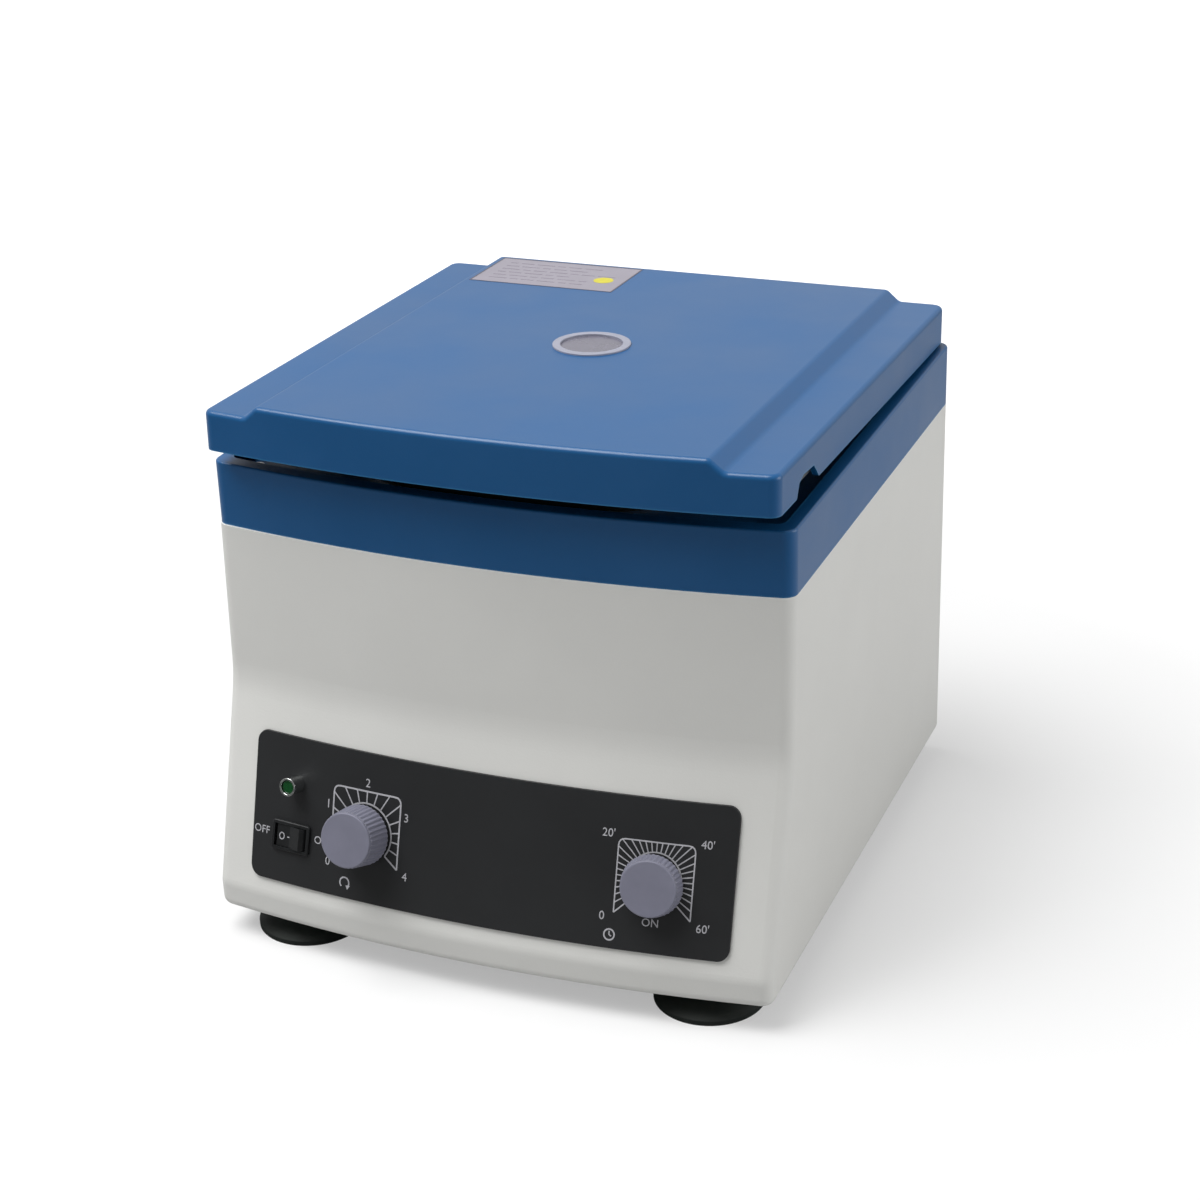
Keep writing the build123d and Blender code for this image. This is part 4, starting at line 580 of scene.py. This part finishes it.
# Knobs: tapered and finely ribbed, moulded in a lavender grey plastic that has a
# soft sheen, pressed onto the shafts of the speed control and the timer.
knob_lavender = (0.200, 0.202, 0.262, 1)
knob_edge_highlight = (0.36, 0.36, 0.42, 1)
knob_grey, tree, shader = finish("knob_grey", Roughness=0.45, IOR=1.48, Specular_IOR_Level=0.4)
tone = use(tree, drift, Colour=knob_lavender, Spread=0.06, Scale=70.0)
# Painted highlight: a paler lavender along the knobs' edges and chamfers.
line = use(tree, edge_line, Radius=0.0007, Gain=2.2)
colour = blend(tree, line["Mask"], tone["Colour"], knob_edge_highlight)
grain = use(tree, pebble, Scale=2600.0, Depth=0.00003)
join(tree, shader, Base_Color=colour, Normal=grain["Normal"])
dress(knob_grey, "speed_knob", "time_knob")

# Power inlet: a black moulded socket snapped into the rear wall. Its three blades
# are nickel-plated brass.
inlet_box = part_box("power_inlet")
inlet_middle = (inlet_box[0] + inlet_box[1]) / 2
socket_depth = 0.016
socket_floor = inlet_box[1].y - socket_depth
blade_size = Vector((0.0021, 0.01005, 0.0041))
blade_spots = ((-0.007, -0.0015), (0.007, -0.0015), (0, 0.0025))
blades = bmesh.new()
for across, upward in blade_spots:
    middle = Vector((inlet_middle.x + across, socket_floor + blade_size.y / 2, inlet_middle.z + upward))
    placing = Matrix.Translation(middle) @ Matrix.Diagonal((*blade_size, 1))
    bmesh.ops.create_cube(blades, size=1.0, matrix=placing)
blade_mesh = bpy.data.meshes.new("inlet_blades")
blades.to_mesh(blade_mesh)
blades.free()
blade_mesh.materials.append(bright_steel)
inlet_blades = bpy.data.objects.new("inlet_blades", blade_mesh)
scene.collection.objects.link(inlet_blades)
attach(inlet_blades, "case")

# Collar: the moulded blue frame on the housing, with a sunken deck round the
# chamber. The plastic is glossy, and the paler blue along its edges is a painted highlight.
moulded_blue = (0.004, 0.087, 0.250, 1)
blue_edge_highlight = (0.035, 0.215, 0.43, 1)
blue_plastic, tree, shader = finish("blue_plastic", Roughness=0.34, IOR=1.5, Specular_IOR_Level=0.5)
tone = use(tree, drift, Colour=moulded_blue, Spread=0.05, Scale=11.0)
# Painted highlight: a paler blue along the edges of the collar and the lid.
line = use(tree, edge_line, Radius=0.0018, Gain=2.6)
colour = blend(tree, line["Mask"], tone["Colour"], blue_edge_highlight)
grain = use(tree, pebble, Scale=1300.0, Depth=0.00002)
gloss = ramp(tree, tone["Mask"], start=0.3, end=0.4, low=noise_low, high=noise_high)
join(tree, shader, Base_Color=colour, Roughness=gloss, Normal=grain["Normal"])
dress(blue_plastic, "collar", "lid_shell")

# Screws: pan-head and countersunk steel screws in the deck, under the base plate, in
# the hinges and under the lid. A cross recess is pressed into each head; here it is a thin dark film on
# the head, painted shade in the recess's shape.
shadow_black = (0.02, 0.02, 0.02, 1)
recess_dark = toned_finish("recess_dark", shadow_black, spread=0.2, scale=500.0, Roughness=0.6)
recess_share = 0.52
slot_share = 0.13
crown_depth = 0.0003
weld_reach = 1e-6
same_facing = 0.99


def cross(centre, size):
    """Outline of a plain cross."""
    arm, half = size / 2, size * slot_share
    x, y = centre
    corners = [(half, half), (half, arm), (-half, arm), (-half, half), (-arm, half), (-arm, -half),
               (-half, -half), (-half, -arm), (half, -arm), (half, -half), (arm, -half), (arm, half)]
    faces = [[0, 1, 2, 3], [3, 4, 5, 6], [6, 7, 8, 9], [9, 10, 11, 0], [0, 3, 6, 9]]
    return [(x + a, y + b) for a, b in corners], faces


def screw_heads(name, outward):
    """Middle, facing and width of each head of a node's screws, on the side that looks outward."""
    solid = bmesh.new()
    solid.from_mesh(nodes[name].data)
    solid.transform(nodes[name].matrix_world)
    bmesh.ops.remove_doubles(solid, verts=solid.verts, dist=weld_reach)
    solid.normal_update()
    seen = set()
    heads = []
    for start in solid.verts:
        if start in seen:
            continue
        screw, waiting = [], [start]
        seen.add(start)
        while waiting:
            vert = waiting.pop()
            screw.append(vert)
            for other in [edge.other_vert(vert) for edge in vert.link_edges]:
                if other not in seen:
                    seen.add(other)
                    waiting.append(other)
        own = set(screw)
        reach = max(vert.co.dot(outward) for vert in screw)
        crown = [face for face in solid.faces if face.verts[0] in own
                 and face.normal.dot(outward) > same_facing
                 and reach - face.calc_center_median().dot(outward) < crown_depth]
        area = sum(face.calc_area() for face in crown)
        middle = sum((face.calc_center_median() * face.calc_area() for face in crown), Vector()) / area
        facing = sum((face.normal * face.calc_area() for face in crown), Vector()).normalized()
        heads.append((middle, facing, max(v.co.x for v in screw) - min(v.co.x for v in screw)))
    solid.free()
    return heads


def recess(name, outward, body):
    """Lays painted shade in the shape of the cross recesses on one node's screws, whose heads lie in one
    plane.
    """
    heads = screw_heads(name, Vector(outward))
    first, facing, _ = heads[0]
    across = Vector((1, 0, 0))
    upward = facing.cross(across)

    def on_heads(x, y, lift=0.0):
        return first + across * x + upward * y + facing * lift

    sheets = [cross(((middle - first).dot(across), (middle - first).dot(upward)), recess_share * wide)
              for middle, _, wide in heads]
    film_piece(name + "_recess", sheets, on_heads, recess_dark, body)


recess("base_screws", (0, 0, -1), "case")
recess("collar_screws", (0, 0, 1), "case")
recess("hinge_screws_fixed", (0, 1, 0), "case")
recess("hinge_screws_lid", (0, 1, 0), "lid")
recess("liner_screws", (0, 0, -1), "lid")

# Rotor numbers: one beside each sleeve, stamped in the hub's flat top and filled
# with dark paint, so that the tubes can be balanced in pairs.
hub_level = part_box("rotor_washer")[0].z
sleeve_places = 6
number_radius = 0.0280
number_height = 0.0055


def on_hub(x, y, lift=0.0):
    """Place on the hub's flat top, from the rotor's axis."""
    return Vector((rotor_x + x, rotor_y + y, hub_level + lift))


numbers = []
for place_number in range(sleeve_places):
    outline, faces = letters(str(place_number + 1), (0, number_radius), number_height)
    turn = radians(360 / sleeve_places * (place_number + 0.5) - 90)
    laid = [(x * cos(turn) - y * sin(turn), x * sin(turn) + y * cos(turn)) for x, y in outline]
    numbers.append((laid, faces))
film_piece("rotor_numbers", numbers, on_hub, recess_dark, "spinner")

# Lid liner: a flat dark plate that closes the lid from below, with a round hole
# under the sight glass.
liner_black = (0.045, 0.050, 0.055, 1)
liner_plastic, tree, shader = finish("liner_plastic", Roughness=0.45)
tone = use(tree, drift, Colour=liner_black, Spread=0.06, Scale=12.0)
grain = use(tree, pebble, Scale=1500.0, Depth=0.00003)
join(tree, shader, Base_Color=tone["Colour"], Normal=grain["Normal"])
dress(liner_plastic, "lid_liner")

# Sight glass: a clouded acrylic disc in a flanged ring of lavender grey plastic, over
# the rotor's centre, where a speed gun can read the nut.
ring_lavender = (0.315, 0.325, 0.400, 1)
ring_plastic = toned_finish("ring_plastic", ring_lavender, spread=0.04, scale=120.0, Roughness=0.4)
dress(ring_plastic, "window_ring")
glass_lavender = (0.28, 0.27, 0.34, 1)
sight_glass = toned_finish("sight_glass", glass_lavender, spread=0.05, scale=90.0, Roughness=0.25,
                           IOR=1.49, Transmission_Weight=0.45)
dress(sight_glass, "window_pane")

# Lid label: a blank plate of pale film near the lid's rear left corner, with a
# dark border, rows of short grey dashes and one plain yellow disc.
label_pale = (0.30, 0.28, 0.33, 1)
label_dark = (0.10, 0.09, 0.11, 1)
label_grey = (0.27, 0.25, 0.30, 1)
disc_yellow = (0.62, 0.56, 0.045, 1)
ink_scale = 300.0
label_film = toned_finish("label_film", label_pale, spread=0.04, scale=60.0, Roughness=0.4)
label_ink = toned_finish("label_ink", label_dark, spread=0.10, scale=ink_scale, Roughness=0.5)
label_rule = toned_finish("label_rule", label_grey, spread=0.10, scale=ink_scale, Roughness=0.5)
label_yellow = toned_finish("label_yellow", disc_yellow, spread=0.06, scale=ink_scale, Roughness=0.5)

pin_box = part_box("hinge_pins")
hinge_y = (pin_box[0].y + pin_box[1].y) / 2
hinge_z = (pin_box[0].z + pin_box[1].z) / 2
lid_ajar = radians(1.8)
plateau_top = 0.0265


def on_lid(x, y, lift=0.0):
    """Place on the lid's raised middle, measured from the hinge line, y towards the rear."""
    up = plateau_top + lift
    tilt_cos, tilt_sin = cos(lid_ajar), sin(lid_ajar)
    return Vector((x, hinge_y + y * tilt_cos + up * tilt_sin, hinge_z - y * tilt_sin + up * tilt_cos))


def oblong(x0, x1, y0, y1):
    """A plain four-sided sheet."""
    return [(x0, y0), (x1, y0), (x1, y1), (x0, y1)], [[0, 1, 2, 3]]


label_left, label_right = -0.1115, -0.0265
label_front, label_back = -0.0575, -0.0085
label_area = oblong(label_left, label_right, label_front, label_back)
film_piece("label_sheet", [label_area], on_lid, label_film, "lid")


def over_label(x, y, lift=0.0):
    """Place on the label's own face."""
    return on_lid(x, y, lift + film)


border_width = 0.0008
inset = border_width / 2
border = oblong(label_left + inset, label_right - inset, label_front + inset, label_back - inset)[0]
border_line = stroke(border, border_width, closed=True, step=0.02)
film_piece("label_border", [border_line], over_label, label_ink, "lid")

row_ends = (-0.046, -0.060, -0.040, -0.064, -0.052, -0.048)
row_pitch = 0.0062
first_row = label_back - 0.0085
row_start = label_left + 0.008
dash_width, dash_gap = 0.0011, 0.0022
short_dash, dash_growth, dash_kinds = 0.0045, 0.003, 3
dashes = []
for row, row_end in enumerate(row_ends):
    dash_y = first_row - row * row_pitch
    dash_x = row_start
    kind = row
    while dash_x < row_end:
        length = short_dash + dash_growth * (kind % dash_kinds)
        dashes.append(stroke([(dash_x, dash_y), (dash_x + length, dash_y)], dash_width, step=0.05))
        dash_x += length + dash_gap
        kind += 1
film_piece("label_dashes", dashes, over_label, label_rule, "lid")

disc_centre = (label_left + 0.0722, label_front + 0.0210)
disc_radius = 0.0056
disc = circle_points(disc_centre, disc_radius, 0, 360, 12)
film_piece("label_disc", [(disc, [list(range(len(disc)))])], over_label, label_yellow, "lid")

# Floor and light: a pale floor, a wide soft lamp from the upper left and a weak one
# from the right, and a white surround that the camera and glossy surfaces see. For the camera the floor
# glows less near the object, painted shade that deepens its shadow there.
floor_reach = 12.0
floor_tone = 0.5
mirror_front, mirror_back = 0.06, 0.5
mirror_from, mirror_to = -0.5, 0.1
glow_in_painted_shade, glow_far = 0.40, 0.9
glow_from, glow_to = 0.4, 1.4
white = (1, 1, 1, 1)


def pick(tree, mask, first, second):
    """Takes the first number where the mask is 0 and the second where it is 1."""
    return place(tree, "Mix", {0: mask, 2: first, 3: second}, data_type="FLOAT").outputs[0]


def seen_straight(tree, paths):
    """Mask of the rays that come from the camera, also through glass."""
    inputs = {0: paths["Is Camera Ray"], 1: paths["Is Transmission Ray"]}
    return place(tree, "Math", inputs, operation="MAXIMUM").outputs[0]


floor_corners = [(-floor_reach, -floor_reach, 0), (floor_reach, -floor_reach, 0),
                 (floor_reach, floor_reach, 0), (-floor_reach, floor_reach, 0)]
floor_mesh = bpy.data.meshes.new("floor")
floor_mesh.from_pydata(floor_corners, [], [(0, 1, 2, 3)])
floor = bpy.data.objects.new("floor", floor_mesh)
scene.collection.objects.link(floor)
floor_pale, tree, shader = finish("floor_pale", Roughness=0.9, Specular_IOR_Level=0.0,
                                  Emission_Color=white)
paths = place(tree, "LightPath", {}).outputs
position = place(tree, "NewGeometry", {}).outputs["Position"]
depth = place(tree, "SeparateXYZ", {0: position}).outputs["Y"]
mirrored = ramp(tree, depth, mirror_front, mirror_back, mirror_from, mirror_to)
level = pick(tree, paths["Is Glossy Ray"], floor_tone, mirrored)
tone = place(tree, "CombineXYZ", {0: level, 1: level, 2: level}).outputs[0]
# Painted shade: the floor's glow for the camera is lowest near the object and rises to white farther
# off.
away = place(tree, "VectorMath", {0: position}, operation="LENGTH").outputs["Value"]
glow = ramp(tree, away, glow_in_painted_shade, glow_far, glow_from, glow_to)
shine = place(tree, "Math", {0: seen_straight(tree, paths), 1: glow}, operation="MULTIPLY").outputs[0]
join(tree, shader, Base_Color=tone, Emission_Strength=shine)
floor_mesh.materials.append(floor_pale)

sky_level = 0.27
sky_front, sky_back = 0.2, 0.75
sky_from, sky_to = -0.7, 0.3
surround = bpy.data.worlds.new("surround")
scene.world = surround
surround.use_nodes = True
tree = surround.node_tree
paths = place(tree, "LightPath", {}).outputs
towards = place(tree, "SeparateXYZ", {0: place(tree, "TexCoord", {}).outputs["Generated"]}).outputs["Y"]
mirrored = ramp(tree, towards, sky_front, sky_back, sky_from, sky_to)
level = pick(tree, paths["Is Glossy Ray"], sky_level, mirrored)
background = tree.nodes["Background"].inputs
join(tree, background, Strength=pick(tree, seen_straight(tree, paths), level, 1.0))
background["Color"].default_value = white


def soft_lamp(name, spot, target, size, power):
    """A square area lamp that looks at a point."""
    data = bpy.data.lights.new(name, "AREA")
    data.size = size
    data.energy = power
    lamp = bpy.data.objects.new(name, data)
    lamp.location = spot
    lamp.rotation_euler = (Vector(target) - Vector(spot)).to_track_quat("-Z", "Y").to_euler()
    scene.collection.objects.link(lamp)


soft_lamp("key_lamp", spot=(-1.2, -0.7, 3.4), target=(0, 0, 0.1), size=2.4, power=150)
soft_lamp("side_lamp", spot=(2.6, 0.5, 0.8), target=(0, 0, 0.15), size=1.2, power=26)

# Camera: a long lens from the front right and above, rolled slightly and shifted a
# little sideways, as it was when the photograph was taken.
camera_right_of, camera_before, camera_above = 0.46464, 1.26307, 0.67165
turn, rise, roll = radians(22.66), radians(24.40), radians(-1.98)
sensor_width, focal_length, sideways = 36.0, 74.75, 0.0021
camera_spot = Vector((camera_right_of, collar_box[1].y - camera_before, case_low + camera_above))
back = Vector((sin(turn) * cos(rise), -cos(turn) * cos(rise), sin(rise)))
right = Vector((cos(turn), sin(turn), 0))
up = back.cross(right)
camera_right = right * cos(roll) + up * sin(roll)
camera_up = -right * sin(roll) + up * cos(roll)
camera_data = bpy.data.cameras.new("camera")
camera_data.sensor_width = sensor_width
camera_data.sensor_fit = "HORIZONTAL"
camera_data.lens = focal_length
camera_data.shift_x = sideways
camera = bpy.data.objects.new("camera", camera_data)
scene.collection.objects.link(camera)
axes = Matrix((camera_right, camera_up, back)).transposed()
camera.matrix_world = Matrix.Translation(camera_spot) @ axes.to_4x4()
scene.camera = camera
scene.view_settings.view_transform = "Standard"

bpy.context.view_layer.update()
